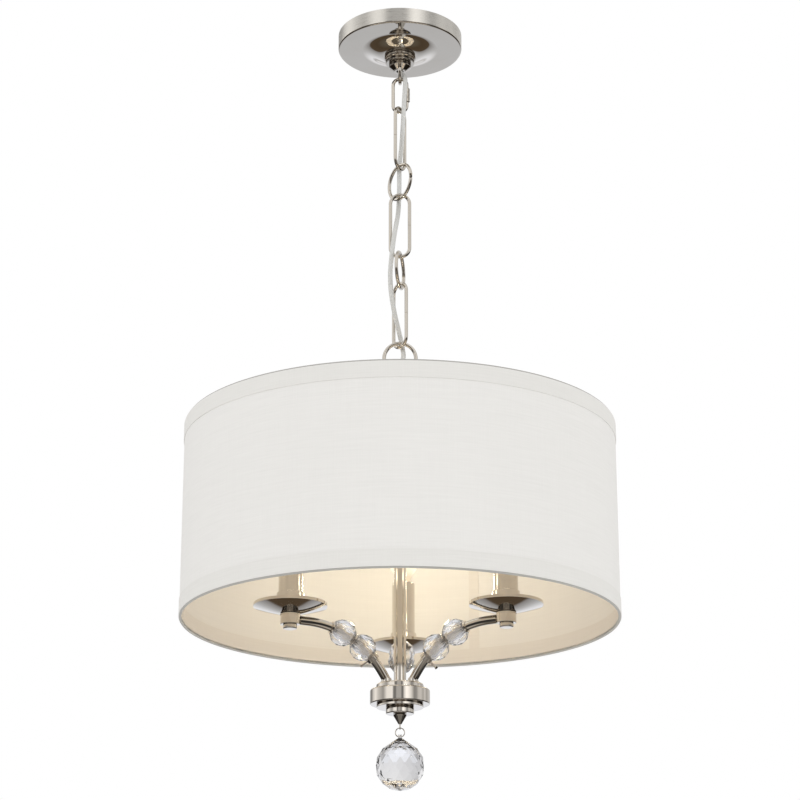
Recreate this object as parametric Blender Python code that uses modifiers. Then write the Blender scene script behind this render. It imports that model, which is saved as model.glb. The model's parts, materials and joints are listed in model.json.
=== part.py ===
# Drum chandelier with three candle arms under a linen drum shade.
# It hangs from a ceiling canopy by a chain of long links and rings.
# Metres, +Z up. The origin is the middle of the canopy where it meets the ceiling.

import math

import bmesh
import bpy
from mathutils import Matrix, Vector

# Fits
GAP = 0.0003  # clearance between pieces that touch
OVERRUN = 0.002  # how far a cutter runs past the face that it cuts
MERGE = 0.00001
SHARP_ANGLE = 32.0

# Canopy and what holds it
CANOPY_DIAMETER = 0.123
CANOPY_RIM_HEIGHT = 0.0153
CANOPY_WALL = 0.0012
CANOPY_EDGE_RADIUS = 0.0015
BELL_DIAMETER = 0.076
BELL_DEPTH = 0.0065
CROSSBAR_LENGTH = 0.098
CROSSBAR_WIDTH = 0.0165
CROSSBAR_THICKNESS = 0.002
SLOT_INNER_SPREAD = 0.0699  # box screws of a small box
SLOT_OUTER_SPREAD = 0.0889  # box screws of a large box
SLOT_WIDTH = 0.005
NIPPLE_BORE = 0.007
NIPPLE_WALL = 0.0014
NIPPLE_GRIP = 0.005  # how far the nipple reaches into the loop's stem
LOCK_NUT_FLATS = 0.0145
LOCK_NUT_HEIGHT = 0.0032
GROUND_SCREW_PLACE = 0.019
GROUND_SCREW_HEAD = 0.0075
GROUND_SCREW_HEAD_HEIGHT = 0.0022
GROUND_SCREW_SHANK = 0.0034
COLLAR_DIAMETER = 0.0308
COLLAR_HEIGHT = 0.0079
COLLAR_EDGE = 0.0012
STEM_WALL = 0.0022
STEM_RISE = 0.004  # stem above the canopy's floor
LOOP_FLANGE_DIAMETER = 0.022
LOOP_FLANGE_HEIGHT = 0.004
LOOP_BOSS_DIAMETER = 0.012
LOOP_BOSS_HEIGHT = 0.004
CANOPY_LOOP_DIAMETER = 0.025
CANOPY_LOOP_CENTRE_SHARE = 0.49  # of the loop's own radius, below the flange
CANOPY_LOOP_TURN = 90.0

# Chain, all of one wire. Turns are degrees about the plumb line.
CHAIN_WIRE = 0.0034
QUICK_LINK_LENGTH = 0.0395
QUICK_LINK_WIDTH = 0.017
QUICK_LINK_TURN = 0.0
QUICK_LINK_MOUTH = 0.006  # gap in the leg, bridged by the nut
QUICK_NUT_LENGTH = 0.0145
QUICK_NUT_WALL = 0.0010
LONG_LINK_LENGTH = 0.0685
LONG_LINK_WIDTH = 0.022
CHAIN_RING_DIAMETER = 0.0388
SEAM = 0.0003  # butt joint of a bent link
# Each piece of chain below the quick link: its name, turn and the side of its seam.
CHAIN_ORDER = (
    ("long_link_1", 62.0, -1),
    ("chain_ring_1", -52.0, 1),
    ("long_link_2", 0.0, 1),
    ("chain_ring_2", 80.0, 1),
    ("long_link_3", -48.0, 1),
)

# Column
COLUMN_LOOP_DIAMETER = 0.034
COLUMN_LOOP_WIRE = 0.0036
COLUMN_LOOP_TURN = 3.0
COUPLING_WALL = 0.0019
COUPLING_LENGTH = 0.0165
COUPLING_SOCKET_DEPTH = 0.008
COLUMN_DIAMETER = 0.0112
COLUMN_WALL = 0.001
COLUMN_LENGTH = 0.3223
COLUMN_SEAT_DIAMETER = 0.018
COLUMN_SEAT_THICKNESS = 0.003
CORD_DIAMETER = 0.0045
CORD_HOLE_CLEARANCE = 0.0013

# Shade and its spider
SHADE_DIAMETER = 0.4064
SHADE_HEIGHT = 0.1865
SHADE_DROP = 0.0886  # top of the column loop to the top of the shade
SHADE_WALL = 0.0015
TRIM_HEIGHT = 0.012
TRIM_THICKNESS = 0.0006
RIM_DIAMETER = 0.0046
SPIDER_DROP = 0.016  # top of the shade to the middle of the spider's hub
SPIDER_HUB_DIAMETER = 0.032
SPIDER_HUB_THICKNESS = 0.0026
SPIDER_WIRE = 0.0034
SPIDER_TURN = 30.0
SPIDER_ARMS = 3
SPIDER_NUT_FLATS = 0.019
SPIDER_NUT_HEIGHT = 0.0045

# Hub
HUB_CAP_DIAMETER = 0.0432
HUB_CAP_THICKNESS = 0.005
HUB_CAP_EDGE = 0.0014
HUB_DRUM_DIAMETER = 0.0546
HUB_DRUM_HEIGHT = 0.0163
HUB_DRUM_WALL = 0.0018
HUB_DRUM_CHAMFER = 0.0014
HUB_DRUM_MOUTH = 0.024  # hole in the top of the drum for the wires
HUB_BEVEL_WIDTH = 0.0055  # slope between the drum's side and its bottom
HUB_BEVEL_HEIGHT = 0.0039
HUB_RING_DIAMETER = 0.0257
HUB_RING_HEIGHT = 0.0056
HUB_RING_EDGE = 0.001
FINIAL_DIAMETER = 0.0124
FINIAL_TIP_DIAMETER = 0.0040
FINIAL_BAND_HEIGHT = 0.0012
FINIAL_HEIGHT = 0.009
FINIAL_PLUG_HEIGHT = 0.007

# Crystal drop
EYE_DIAMETER = 0.0047
EYE_WIRE = 0.0010
EYE_SHANK_DIAMETER = 0.0008
EYE_SHANK_LENGTH = 0.004
EYE_TURN = 90.0
DROP_RING_DIAMETER = 0.0092
DROP_RING_WIRE = 0.0009
BALL_DIAMETER = 0.0446
BALL_NECK_LENGTH = 0.0064  # tip above the ball's own round top
BALL_CROWN_DIAMETER = 0.0205  # shoulder of the pointed top
BALL_CROWN_DROP = 0.0061  # tip down to that shoulder
BALL_HOLE_CLEARANCE = 0.0006
LUG_DIAMETER = 0.0044
LUG_TIP_DIAMETER = 0.0032
LUG_HEIGHT = 0.0036
LUG_ABOVE_HOLE = 0.0007
BALL_SIDES = 12
BALL_RINGS = (-66.0, -44.0, -22.0, 0.0, 22.0, 44.0)

# Arms. Lengths run along the arm's middle line from the foot of its ferrule.
ARM_TURNS = (90.0, 210.0, 330.0)
THUMB_TURNS = (180.0, 120.0, 180.0)
ARM_FOOT_RADIUS = 0.014
ARM_FOOT_RISE = 0.0025
ARM_DIAMETER = 0.0082
ARM_SLOPE = 56.0
ARM_STRAIGHT = 0.0062
ARM_BEND_RADIUS = 0.092
ARM_LEVEL_RUN = 0.0182
FERRULE_DIAMETER = 0.0105
FERRULE_HEIGHT = 0.004
ARM_PIN_DIAMETER = 0.0064
SPIGOT_DIAMETER = 0.006
SPIGOT_LENGTH = 0.005
BEAD_COLLAR_PLACE = 0.0235
BEAD_COLLAR_LENGTH = 0.0042
BEAD_COLLAR_WALL = 0.0014
THUMB_SCREW_DIAMETER = 0.0018
THUMB_SCREW_LENGTH = 0.0085
THUMB_HEAD_DIAMETER = 0.0032
THUMB_HEAD_LENGTH = 0.0016
BEAD_DIAMETER = 0.025
BEAD_LENGTH = 0.0205
BEAD_SIDES = 10
BEAD_RINGS = (-27.0, 0.0, 27.0)
SPACER_DIAMETER = 0.012
SPACER_THICKNESS = 0.0012
STOP_DIAMETER = 0.011
STOP_THICKNESS = 0.0016

# Candle cups
HOLDER_DIAMETER = 0.0179
HOLDER_ABOVE_ARM = 0.0046
HOLDER_BELOW_ARM = 0.005
HOLDER_CAP_DIAMETER = 0.0127
HOLDER_CAP_HEIGHT = 0.004
HOLDER_EDGE = 0.0008
STUD_DIAMETER = 0.0096
STUD_HEIGHT = 0.009
DISH_DIAMETER = 0.0668
DISH_LIP = 0.0026
DISH_DEPTH = 0.0066
DISH_WALL = 0.0009
DISH_CURVE = 1.15
SLEEVE_DIAMETER = 0.022
SLEEVE_WALL = 0.0008
SLEEVE_HEIGHT = 0.066
SLEEVE_FOOT_DIAMETER = 0.0262
SLEEVE_FOOT_HEIGHT = 0.0155
LAMPHOLDER_CLEARANCE = 0.0015
LAMPHOLDER_RECESS = 0.0095  # top of the lampholder below the sleeve's top
SOCKET_DEPTH = 0.021
LAMP_BASE_DIAMETER = 0.0118
LAMP_BASE_CLEARANCE = 0.0004
LAMP_DIAMETER = 0.032
LAMP_LENGTH = 0.083
LAMP_WIDEST_SHARE = 0.42
LAMP_POINT_CURVE = 0.8

# Roundness, in sides or steps
SHADE_SIDES = 48
CANOPY_SIDES = 32
HUB_SIDES = 28
DISH_SIDES = 24
SMALL_SIDES = 16
TINY_SIDES = 12
LINK_STEPS = 8
WIRE_BEVEL_STEPS = 2

# The supply cord's route, from the nipple through the chain to the hub. x and y only;
# each z is a depth under the ceiling.
CORD_ROUTE = (
    (0.0000, 0.0000, 0.0010),
    (0.0000, 0.0000, 0.0140),
    (0.0000, 0.0000, 0.0250),
    (0.0000, 0.0000, 0.0320),
    (0.0002, -0.0002, 0.0378),
    (0.0022, -0.0025, 0.0428),
    (0.0050, -0.0054, 0.0482),
    (0.0054, -0.0062, 0.0560),
    (0.0045, -0.0059, 0.0700),
    (0.0035, -0.0052, 0.0900),
    (0.0026, -0.0034, 0.1060),
    (0.0014, 0.0010, 0.1200),
    (-0.0001, 0.0058, 0.1310),
    (-0.0009, 0.0086, 0.1420),
    (-0.0010, 0.0092, 0.1590),
    (-0.0014, 0.0090, 0.1760),
    (-0.0020, 0.0068, 0.1880),
    (-0.0034, 0.0015, 0.2010),
    (-0.0050, -0.0034, 0.2130),
    (-0.0066, -0.0058, 0.2260),
    (-0.0080, -0.0062, 0.2400),
    (-0.0092, -0.0056, 0.2560),
    (-0.0086, -0.0046, 0.2740),
    (-0.0056, -0.0016, 0.2940),
    (-0.0022, 0.0018, 0.3090),
    (0.0004, 0.0048, 0.3200),
    (0.0022, 0.0056, 0.3290),
    (0.0032, 0.0042, 0.3380),
    (0.0018, 0.0018, 0.3460),
    (0.0001, 0.0001, 0.3530),
    (0.0000, 0.0000, 0.3600),
    (0.0000, 0.0000, 0.3720),
    (0.0000, 0.0000, 0.3950),
    (0.0000, 0.0000, 0.4400),
    (0.0000, 0.0000, 0.5100),
    (0.0000, 0.0000, 0.5900),
    (0.0000, 0.0000, 0.6600),
)
CORD_STEP = 0.0094


# Worked out from the sizes above


def half(size):
    return size / 2


canopy_floor = -CANOPY_RIM_HEIGHT - BELL_DEPTH
collar_top = canopy_floor - GAP
flange_top = collar_top - COLLAR_HEIGHT - GAP
flange_bottom = flange_top - LOOP_FLANGE_HEIGHT
nipple_radius = half(NIPPLE_BORE) + NIPPLE_WALL
stem_bore = nipple_radius + GAP
stem_radius = stem_bore + STEM_WALL
stem_top = canopy_floor + CANOPY_WALL + STEM_RISE
cord_hole = half(CORD_DIAMETER) + CORD_HOLE_CLEARANCE
canopy_loop_radius = half(CANOPY_LOOP_DIAMETER - CHAIN_WIRE)
canopy_loop_centre = flange_bottom - CANOPY_LOOP_CENTRE_SHARE * canopy_loop_radius
chain_start = canopy_loop_centre - canopy_loop_radius
hang = CHAIN_WIRE + GAP  # from one wire's middle to the next where links cross

arm_slope = math.radians(ARM_SLOPE)
arm_radius = half(ARM_DIAMETER)
column_radius = half(COLUMN_DIAMETER)
column_hole = column_radius + GAP
shade_radius = half(SHADE_DIAMETER)


# Tools


def clear_scene():
    for item in list(bpy.data.objects):
        bpy.data.objects.remove(item)


def collection(name):
    group = bpy.data.collections.new(name)
    bpy.context.scene.collection.children.link(group)
    return group


def finish(name, colour, roughness, metallic=0.0, transmission=0.0, glow=0.0):
    """A surface with its colour, roughness and metal share."""
    material = bpy.data.materials.new(name)
    material.use_nodes = True
    shader = material.node_tree.nodes["Principled BSDF"]
    shader.inputs["Base Color"].default_value = (*colour, 1.0)
    shader.inputs["Roughness"].default_value = roughness
    shader.inputs["Metallic"].default_value = metallic
    shader.inputs["Transmission Weight"].default_value = transmission
    shader.inputs["Emission Color"].default_value = (*colour, 1.0)
    shader.inputs["Emission Strength"].default_value = glow
    material.diffuse_color = (*colour, 1.0)
    return material


clear_scene()
PARTS = collection("drum_chandelier")
CUTTERS = collection("cutters")

NICKEL = finish("polished_nickel", (0.78, 0.75, 0.70), 0.08, metallic=1.0)
SATIN = finish("satin_nickel", (0.70, 0.67, 0.62), 0.32, metallic=1.0)
STEEL = finish("zinc_steel", (0.62, 0.63, 0.64), 0.40, metallic=1.0)
BRASS = finish("brass", (0.72, 0.55, 0.28), 0.35, metallic=1.0)
GREEN = finish("green_screw", (0.05, 0.30, 0.12), 0.40, metallic=0.3)
LINEN = finish("shade_linen", (0.82, 0.81, 0.78), 0.90)
TRIM = finish("shade_trim", (0.78, 0.77, 0.74), 0.88)
CRYSTAL = finish("crystal", (0.95, 0.96, 0.97), 0.02, transmission=1.0)
CORD = finish("cord_sheath", (0.80, 0.80, 0.79), 0.30)
PHENOLIC = finish("lampholder_moulding", (0.86, 0.84, 0.78), 0.45)
LAMP = finish("lamp_glass", (1.0, 0.90, 0.72), 0.25, glow=2.0)


def add(name, data, material=None, parent=None):
    """Put a mesh, curve or empty in the scene, hung on its parent."""
    item = bpy.data.objects.new(name, data)
    group = CUTTERS if material is None and data is not None else PARTS
    group.objects.link(item)
    if material is None and data is not None:
        item.hide_render = True
        item.display_type = "WIRE"
    if material is not None:
        data.materials.clear()
        data.materials.append(material)
    item.parent = parent
    return item


def pivot(name, place, parent=None, turn=0.0):
    """An empty at a joint or at a place that pieces share."""
    item = add(name, None, parent=parent)
    item.location = place
    item.rotation_euler.z = math.radians(turn)
    item.empty_display_size = CHAIN_WIRE
    return item


def smooth(mesh):
    mesh.shade_smooth()
    mesh.set_sharp_from_angle(angle=math.radians(SHARP_ANGLE))
    return mesh


def mesh_of(item):
    """The mesh that an object shows, without the object."""
    graph = bpy.context.evaluated_depsgraph_get()
    mesh = bpy.data.meshes.new_from_object(item.evaluated_get(graph))
    bpy.data.objects.remove(item)
    return mesh


def turned(outline, sides, wall=0.0, closed=True):
    """Turn an outline of (radius, height) about Z; it runs down its outer side."""
    profile = bpy.data.meshes.new("profile")
    count = len(outline)
    edges = [(at, at + 1) for at in range(count - 1)]
    if closed and not wall:
        edges.append((count - 1, 0))
    profile.from_pydata([(radius, 0.0, height) for radius, height in outline], edges, [])
    item = add("turning", profile)
    screw = item.modifiers.new("turn", "SCREW")
    screw.axis = "Z"
    screw.steps = sides
    screw.render_steps = sides
    screw.use_merge_vertices = True
    screw.merge_threshold = MERGE
    if wall:
        shell = item.modifiers.new("wall", "SOLIDIFY")
        shell.thickness = wall
        shell.offset = -1.0
        shell.use_even_offset = True
    return smooth(mesh_of(item))


def wire(points, diameter, loop=False, roundness=WIRE_BEVEL_STEPS):
    """A round wire or tube along points, as a curve."""
    curve = bpy.data.curves.new("wire", "CURVE")
    curve.dimensions = "3D"
    curve.bevel_depth = half(diameter)
    curve.bevel_resolution = roundness
    curve.use_fill_caps = not loop
    line = curve.splines.new("POLY")
    line.points.add(len(points) - 1)
    for knot, place in zip(line.points, points):
        knot.co = (*place, 1.0)
    line.use_cyclic_u = loop
    line.use_smooth = True
    return curve


def wire_mesh(points, diameter, roundness=WIRE_BEVEL_STEPS, loop=False):
    """The same wire as a closed mesh, for joining and cutting."""
    mesh = mesh_of(add("bending", wire(points, diameter, loop, roundness)))
    shape = bmesh.new()
    shape.from_mesh(mesh)
    bmesh.ops.remove_doubles(shape, verts=shape.verts, dist=MERGE)
    bmesh.ops.recalc_face_normals(shape, faces=shape.faces)
    shape.to_mesh(mesh)
    shape.free()
    return smooth(mesh)


def rod(radius, start, end, sides, radius_end=None):
    """A closed cylinder or cone between two points."""
    start = Vector(start)
    end = Vector(end)
    along = end - start
    shape = bmesh.new()
    bmesh.ops.create_cone(
        shape,
        cap_ends=True,
        segments=sides,
        radius1=radius,
        radius2=radius if radius_end is None else radius_end,
        depth=along.length,
    )
    bmesh.ops.rotate(shape, verts=shape.verts, matrix=along.to_track_quat("Z", "Y").to_matrix())
    bmesh.ops.translate(shape, verts=shape.verts, vec=(start + end) / 2)
    mesh = bpy.data.meshes.new("rod")
    shape.to_mesh(mesh)
    shape.free()
    return smooth(mesh)


def ring(diameter, section, turn, centre, steps, sides):
    """A closed ring of wire that stands on edge, turned about the plumb line."""
    middle = half(diameter - section)
    points = []
    for step in range(steps):
        angle = math.tau * step / steps
        points.append((middle * math.sin(angle), 0.0, middle * math.cos(angle)))
    mesh = wire_mesh(points, section, sides, loop=True)
    mesh.transform(Matrix.Translation(centre) @ Matrix.Rotation(math.radians(turn), 4, "Z"))
    return mesh


def boolean(item, other, operation):
    change = item.modifiers.new(operation.lower(), "BOOLEAN")
    change.operation = operation
    change.solver = "EXACT"
    change.object = other


def join(item, mesh):
    """Weld another shape, given in the item's own space, on to it."""
    boolean(item, add(item.name + "_joined", mesh, parent=item), "UNION")


def cut(item, mesh):
    """Cut a shape, given in the item's own space, out of it."""
    boolean(item, add(item.name + "_cutter", mesh, parent=item), "DIFFERENCE")


def bore_for(radius, sides):
    """Corner radius of a many-sided hole whose flats clear a round radius."""
    return radius / math.cos(math.pi / sides)


def rounded(corner_radius, corner_height, edge, downward=1, steps=3):
    """Points of a rounded edge whose sharp corner is given, in the order that it turns.

    downward says which way the corner points. The points run from the face above the edge
    to the side when the corner points up, and from the side to the face below when it
    points down.
    """
    points = []
    for step in range(steps + 1):
        angle = math.pi / 2 * step / steps
        across, along = (math.sin(angle), math.cos(angle))
        if downward > 0:
            across, along = along, across
        points.append(
            (
                corner_radius - edge * (1 - across),
                corner_height + downward * edge * (1 - along),
            )
        )
    return points


def hexagon_nut(flats, height, hole, top):
    """A hexagon nut about Z whose upper face is at top, with its hole cut."""
    item_mesh = rod(half(flats) / math.cos(math.pi / 6), (0, 0, top - height), (0, 0, top), 6)
    cutter = rod(
        bore_for(hole, SMALL_SIDES), (0, 0, top - height - OVERRUN), (0, 0, top + OVERRUN), SMALL_SIDES
    )
    return item_mesh, cutter


# Ceiling end


def canopy():
    """Spun cover: an upright rim, a flat underside and a bell down to the collar."""
    radius = half(CANOPY_DIAMETER)
    outline = [(radius, 0.0)]
    outline += rounded(radius, -CANOPY_RIM_HEIGHT, CANOPY_EDGE_RADIUS, steps=2)
    bell = half(BELL_DIAMETER)
    inner = half(COLLAR_DIAMETER)
    steps = 5
    for step in range(steps + 1):
        share = step / steps
        drop = BELL_DEPTH * (1 - math.cos(math.pi * share)) / 2
        outline.append((bell + (inner - bell) * share, -CANOPY_RIM_HEIGHT - drop))
    outline.append((bore_for(stem_radius + GAP, CANOPY_SIDES), canopy_floor))
    add("canopy", turned(outline, CANOPY_SIDES, wall=CANOPY_WALL), SATIN)


def crossbar():
    """Strap behind the canopy, with a hole for the nipple and two slots for box screws."""
    shape = bmesh.new()
    bmesh.ops.create_cube(shape, size=1.0)
    bmesh.ops.scale(shape, verts=shape.verts, vec=(CROSSBAR_LENGTH, CROSSBAR_WIDTH, CROSSBAR_THICKNESS))
    bmesh.ops.translate(shape, verts=shape.verts, vec=(0, 0, -half(CROSSBAR_THICKNESS)))
    mesh = bpy.data.meshes.new("crossbar")
    shape.to_mesh(mesh)
    shape.free()
    bar = add("crossbar", mesh, STEEL)
    low = -CROSSBAR_THICKNESS - OVERRUN
    hole = bore_for(nipple_radius + GAP, SMALL_SIDES)
    cut(bar, rod(hole, (0, 0, low), (0, 0, OVERRUN), SMALL_SIDES))
    screw_hole = bore_for(half(GROUND_SCREW_SHANK) + GAP, TINY_SIDES)
    place = GROUND_SCREW_PLACE
    cut(bar, rod(screw_hole, (place, 0, low), (place, 0, OVERRUN), TINY_SIDES))
    for side in (-1, 1):
        cut(bar, slot(side, low))


def slot(side, low):
    """A round-ended slot through the crossbar."""
    near = half(SLOT_INNER_SPREAD)
    far = half(SLOT_OUTER_SPREAD)
    radius = half(SLOT_WIDTH)
    outline = []
    for centre, start in ((far, -90), (near, 90)):
        for step in range(LINK_STEPS + 1):
            angle = math.radians(start + 180 * step / LINK_STEPS)
            outline.append((side * centre + side * radius * math.cos(angle), radius * math.sin(angle)))
    shape = bmesh.new()
    corners = [shape.verts.new((x, y, low)) for x, y in outline]
    face = shape.faces.new(corners)
    raised = bmesh.ops.extrude_face_region(shape, geom=[face])
    top = [item for item in raised["geom"] if isinstance(item, bmesh.types.BMVert)]
    bmesh.ops.translate(shape, verts=top, vec=(0, 0, OVERRUN - low))
    bmesh.ops.recalc_face_normals(shape, faces=shape.faces)
    mesh = bpy.data.meshes.new("slot")
    shape.to_mesh(mesh)
    shape.free()
    return mesh


def ceiling_fittings():
    """Nipple, lock nut and ground screw."""
    bottom = stem_top - NIPPLE_GRIP
    outline = [
        (nipple_radius, 0.0),
        (nipple_radius, bottom),
        (half(NIPPLE_BORE), bottom),
        (half(NIPPLE_BORE), 0.0),
    ]
    add("threaded_nipple", turned(outline, SMALL_SIDES), BRASS)
    top = -CROSSBAR_THICKNESS - GAP
    mesh, hole = hexagon_nut(LOCK_NUT_FLATS, LOCK_NUT_HEIGHT, nipple_radius + GAP, top)
    cut(add("lock_nut", mesh, BRASS), hole)
    shank = half(GROUND_SCREW_SHANK)
    head = half(GROUND_SCREW_HEAD)
    outline = [(0.0, 0.0), (shank, 0.0), (shank, top), (head, top)]
    outline += [(head, top - half(GROUND_SCREW_HEAD_HEIGHT))]
    outline += [(head - half(GROUND_SCREW_HEAD_HEIGHT), top - GROUND_SCREW_HEAD_HEIGHT)]
    outline += [(0.0, top - GROUND_SCREW_HEAD_HEIGHT)]
    screw = add("ground_screw", turned(outline, TINY_SIDES, closed=False), GREEN)
    screw.location.x = GROUND_SCREW_PLACE


def canopy_collar():
    """Ring that screws up the stem and holds the canopy to the ceiling."""
    radius = half(COLLAR_DIAMETER)
    hole = bore_for(stem_radius + GAP, SMALL_SIDES)
    bottom = collar_top - COLLAR_HEIGHT
    outline = [(hole, collar_top)]
    outline += rounded(radius, collar_top, COLLAR_EDGE, downward=-1, steps=2)
    outline += rounded(radius, bottom, COLLAR_EDGE, steps=2)
    outline += [(hole, bottom)]
    add("canopy_collar", turned(outline, HUB_SIDES), NICKEL)


def canopy_loop():
    """Stem, flange and boss in one casting, with the loop that the chain hangs on."""
    flange = half(LOOP_FLANGE_DIAMETER)
    boss = half(LOOP_BOSS_DIAMETER)
    boss_bottom = flange_bottom - LOOP_BOSS_HEIGHT
    well = stem_top - NIPPLE_GRIP - GAP
    outline = [
        (stem_bore, stem_top),
        (stem_radius, stem_top),
        (stem_radius, flange_top),
        (flange, flange_top),
        (flange, flange_bottom),
        (boss, flange_bottom),
        (boss, boss_bottom),
        (cord_hole, boss_bottom),
        (cord_hole, well),
        (stem_bore, well),
    ]
    loop = add("canopy_loop", turned(outline, SMALL_SIDES), NICKEL)
    rise = half(flange_top + flange_bottom) - canopy_loop_centre
    open_half = math.acos(rise / canopy_loop_radius)
    points = []
    steps = 2 * LINK_STEPS
    for step in range(steps + 1):
        angle = open_half + (math.tau - 2 * open_half) * step / steps
        points.append(
            (
                canopy_loop_radius * math.sin(angle),
                0.0,
                canopy_loop_centre + canopy_loop_radius * math.cos(angle),
            )
        )
    mesh = wire_mesh(points, CHAIN_WIRE)
    mesh.transform(Matrix.Rotation(math.radians(CANOPY_LOOP_TURN), 4, "Z"))
    join(loop, mesh)


# Chain


def link_points(length, width, seam_side, mouth):
    """Middle line of a link that hangs from the origin, open by mouth on one leg."""
    bend = half(width - CHAIN_WIRE)
    upper = hang - bend
    lower = upper - (length - width)
    seam = half(upper + lower)
    points = [(seam_side * bend, 0.0, seam + half(mouth))]
    for centre, start in ((upper, 0), (lower, 180)):
        for step in range(LINK_STEPS + 1):
            angle = math.radians(start + 180 * step / LINK_STEPS)
            points.append((seam_side * bend * math.cos(angle), 0.0, centre + bend * math.sin(angle)))
    points.append((seam_side * bend, 0.0, seam - half(mouth)))
    return points


def link_reach(length):
    """From a link's own pivot down to the middle of its lowest wire."""
    return length - CHAIN_WIRE - hang


def chain():
    """Quick link, long links and rings, each turning about the wire above it."""
    place = pivot("pivot_quick_link", (0, 0, chain_start))
    link = add(
        "quick_link",
        wire(link_points(QUICK_LINK_LENGTH, QUICK_LINK_WIDTH, 1, QUICK_LINK_MOUTH), CHAIN_WIRE),
        NICKEL,
        place,
    )
    link.rotation_euler.z = math.radians(QUICK_LINK_TURN)
    quick_link_nut(link)
    reach = link_reach(QUICK_LINK_LENGTH)
    for name, turn, seam_side in CHAIN_ORDER:
        place = pivot("pivot_" + name, (0, 0, -reach), place)
        if name.startswith("long"):
            length = LONG_LINK_LENGTH
            width = LONG_LINK_WIDTH
        else:
            length = CHAIN_RING_DIAMETER
            width = CHAIN_RING_DIAMETER
        piece = add(name, wire(link_points(length, width, seam_side, SEAM), CHAIN_WIRE), NICKEL, place)
        piece.rotation_euler.z = math.radians(turn)
        reach = link_reach(length)
    return pivot("pivot_fixture", (0, 0, -reach), place)


def quick_link_nut(link):
    """Sleeve nut that bridges the quick link's mouth."""
    bore = half(CHAIN_WIRE) + GAP
    outer = bore + QUICK_NUT_WALL
    bend = half(QUICK_LINK_WIDTH - CHAIN_WIRE)
    middle = hang - bend - half(QUICK_LINK_LENGTH - QUICK_LINK_WIDTH)
    rise = half(QUICK_NUT_LENGTH)
    outline = [(bore, rise), (outer, rise), (outer, -rise), (bore, -rise)]
    nut = add("quick_link_nut", turned(outline, TINY_SIDES), NICKEL, link)
    nut.location = (bend, 0, middle)


def cord_route():
    """Points of the cord, evenly spaced on one smooth curve through its route."""
    knots = [Vector((x, y, -depth)) for x, y, depth in CORD_ROUTE]
    dense = []
    share_count = 24
    for at in range(len(knots) - 1):
        before = knots[max(at - 1, 0)]
        first = knots[at]
        second = knots[at + 1]
        after = knots[min(at + 2, len(knots) - 1)]
        for step in range(share_count):
            t = step / share_count
            dense.append(
                (
                    first * 2
                    + (second - before) * t
                    + (before * 2 - first * 5 + second * 4 - after) * t**2
                    + (first * 3 - before - second * 3 + after) * t**3
                )
                / 2
            )
    dense.append(knots[-1])
    points = [dense[0]]
    walked = 0.0
    for last, point in zip(dense, dense[1:]):
        walked += (point - last).length
        if walked >= CORD_STEP:
            points.append(point)
            walked = 0.0
    if (dense[-1] - points[-1]).length > half(CORD_STEP):
        points.append(dense[-1])
    else:
        points[-1] = dense[-1]
    return points


# Column and shade


def column(fixture):
    """Loop with its coupling, and the tube that everything below is threaded on."""
    wire_radius = half(COLUMN_LOOP_WIRE)
    loop_radius = half(COLUMN_LOOP_DIAMETER) - wire_radius
    top = half(CHAIN_WIRE) + GAP + COLUMN_LOOP_WIRE
    centre = top - half(COLUMN_LOOP_DIAMETER)
    low = centre - loop_radius
    boss_top = low + COLUMN_LOOP_WIRE
    boss_bottom = boss_top - COUPLING_LENGTH
    socket_top = boss_bottom + COUPLING_SOCKET_DEPTH
    outer = column_hole + COUPLING_WALL
    outline = [
        (cord_hole, boss_top),
        *rounded(outer, boss_top, COUPLING_WALL, downward=-1, steps=2),
        (outer, boss_bottom),
        (column_hole, boss_bottom),
        (column_hole, socket_top),
        (cord_hole, socket_top),
    ]
    steps = 2 * LINK_STEPS
    mesh = ring(COLUMN_LOOP_DIAMETER, COLUMN_LOOP_WIRE, COLUMN_LOOP_TURN, (0, 0, centre), steps, 2)
    loop = add("column_loop", mesh, NICKEL, fixture)
    join(loop, turned(outline, SMALL_SIDES))
    cut(loop, rod(cord_hole, (0, 0, boss_top + OVERRUN), (0, 0, socket_top - OVERRUN), SMALL_SIDES))

    column_top = socket_top - GAP
    column_bottom = column_top - COLUMN_LENGTH
    shade_top = top - SHADE_DROP
    hub_plane = shade_top - SPIDER_DROP
    seat_top = hub_plane - half(SPIDER_HUB_THICKNESS) - GAP
    seat_bottom = seat_top - COLUMN_SEAT_THICKNESS
    seat = half(COLUMN_SEAT_DIAMETER)
    bore = column_radius - COLUMN_WALL
    outline = [
        (bore, column_top),
        (column_radius, column_top),
        (column_radius, seat_top),
        (seat, seat_top),
        (seat, seat_bottom),
        (column_radius, seat_bottom),
        (column_radius, column_bottom),
        (bore, column_bottom),
    ]
    add("column_tube", turned(outline, SMALL_SIDES), NICKEL, fixture)
    return shade_top, hub_plane, column_bottom


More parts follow.
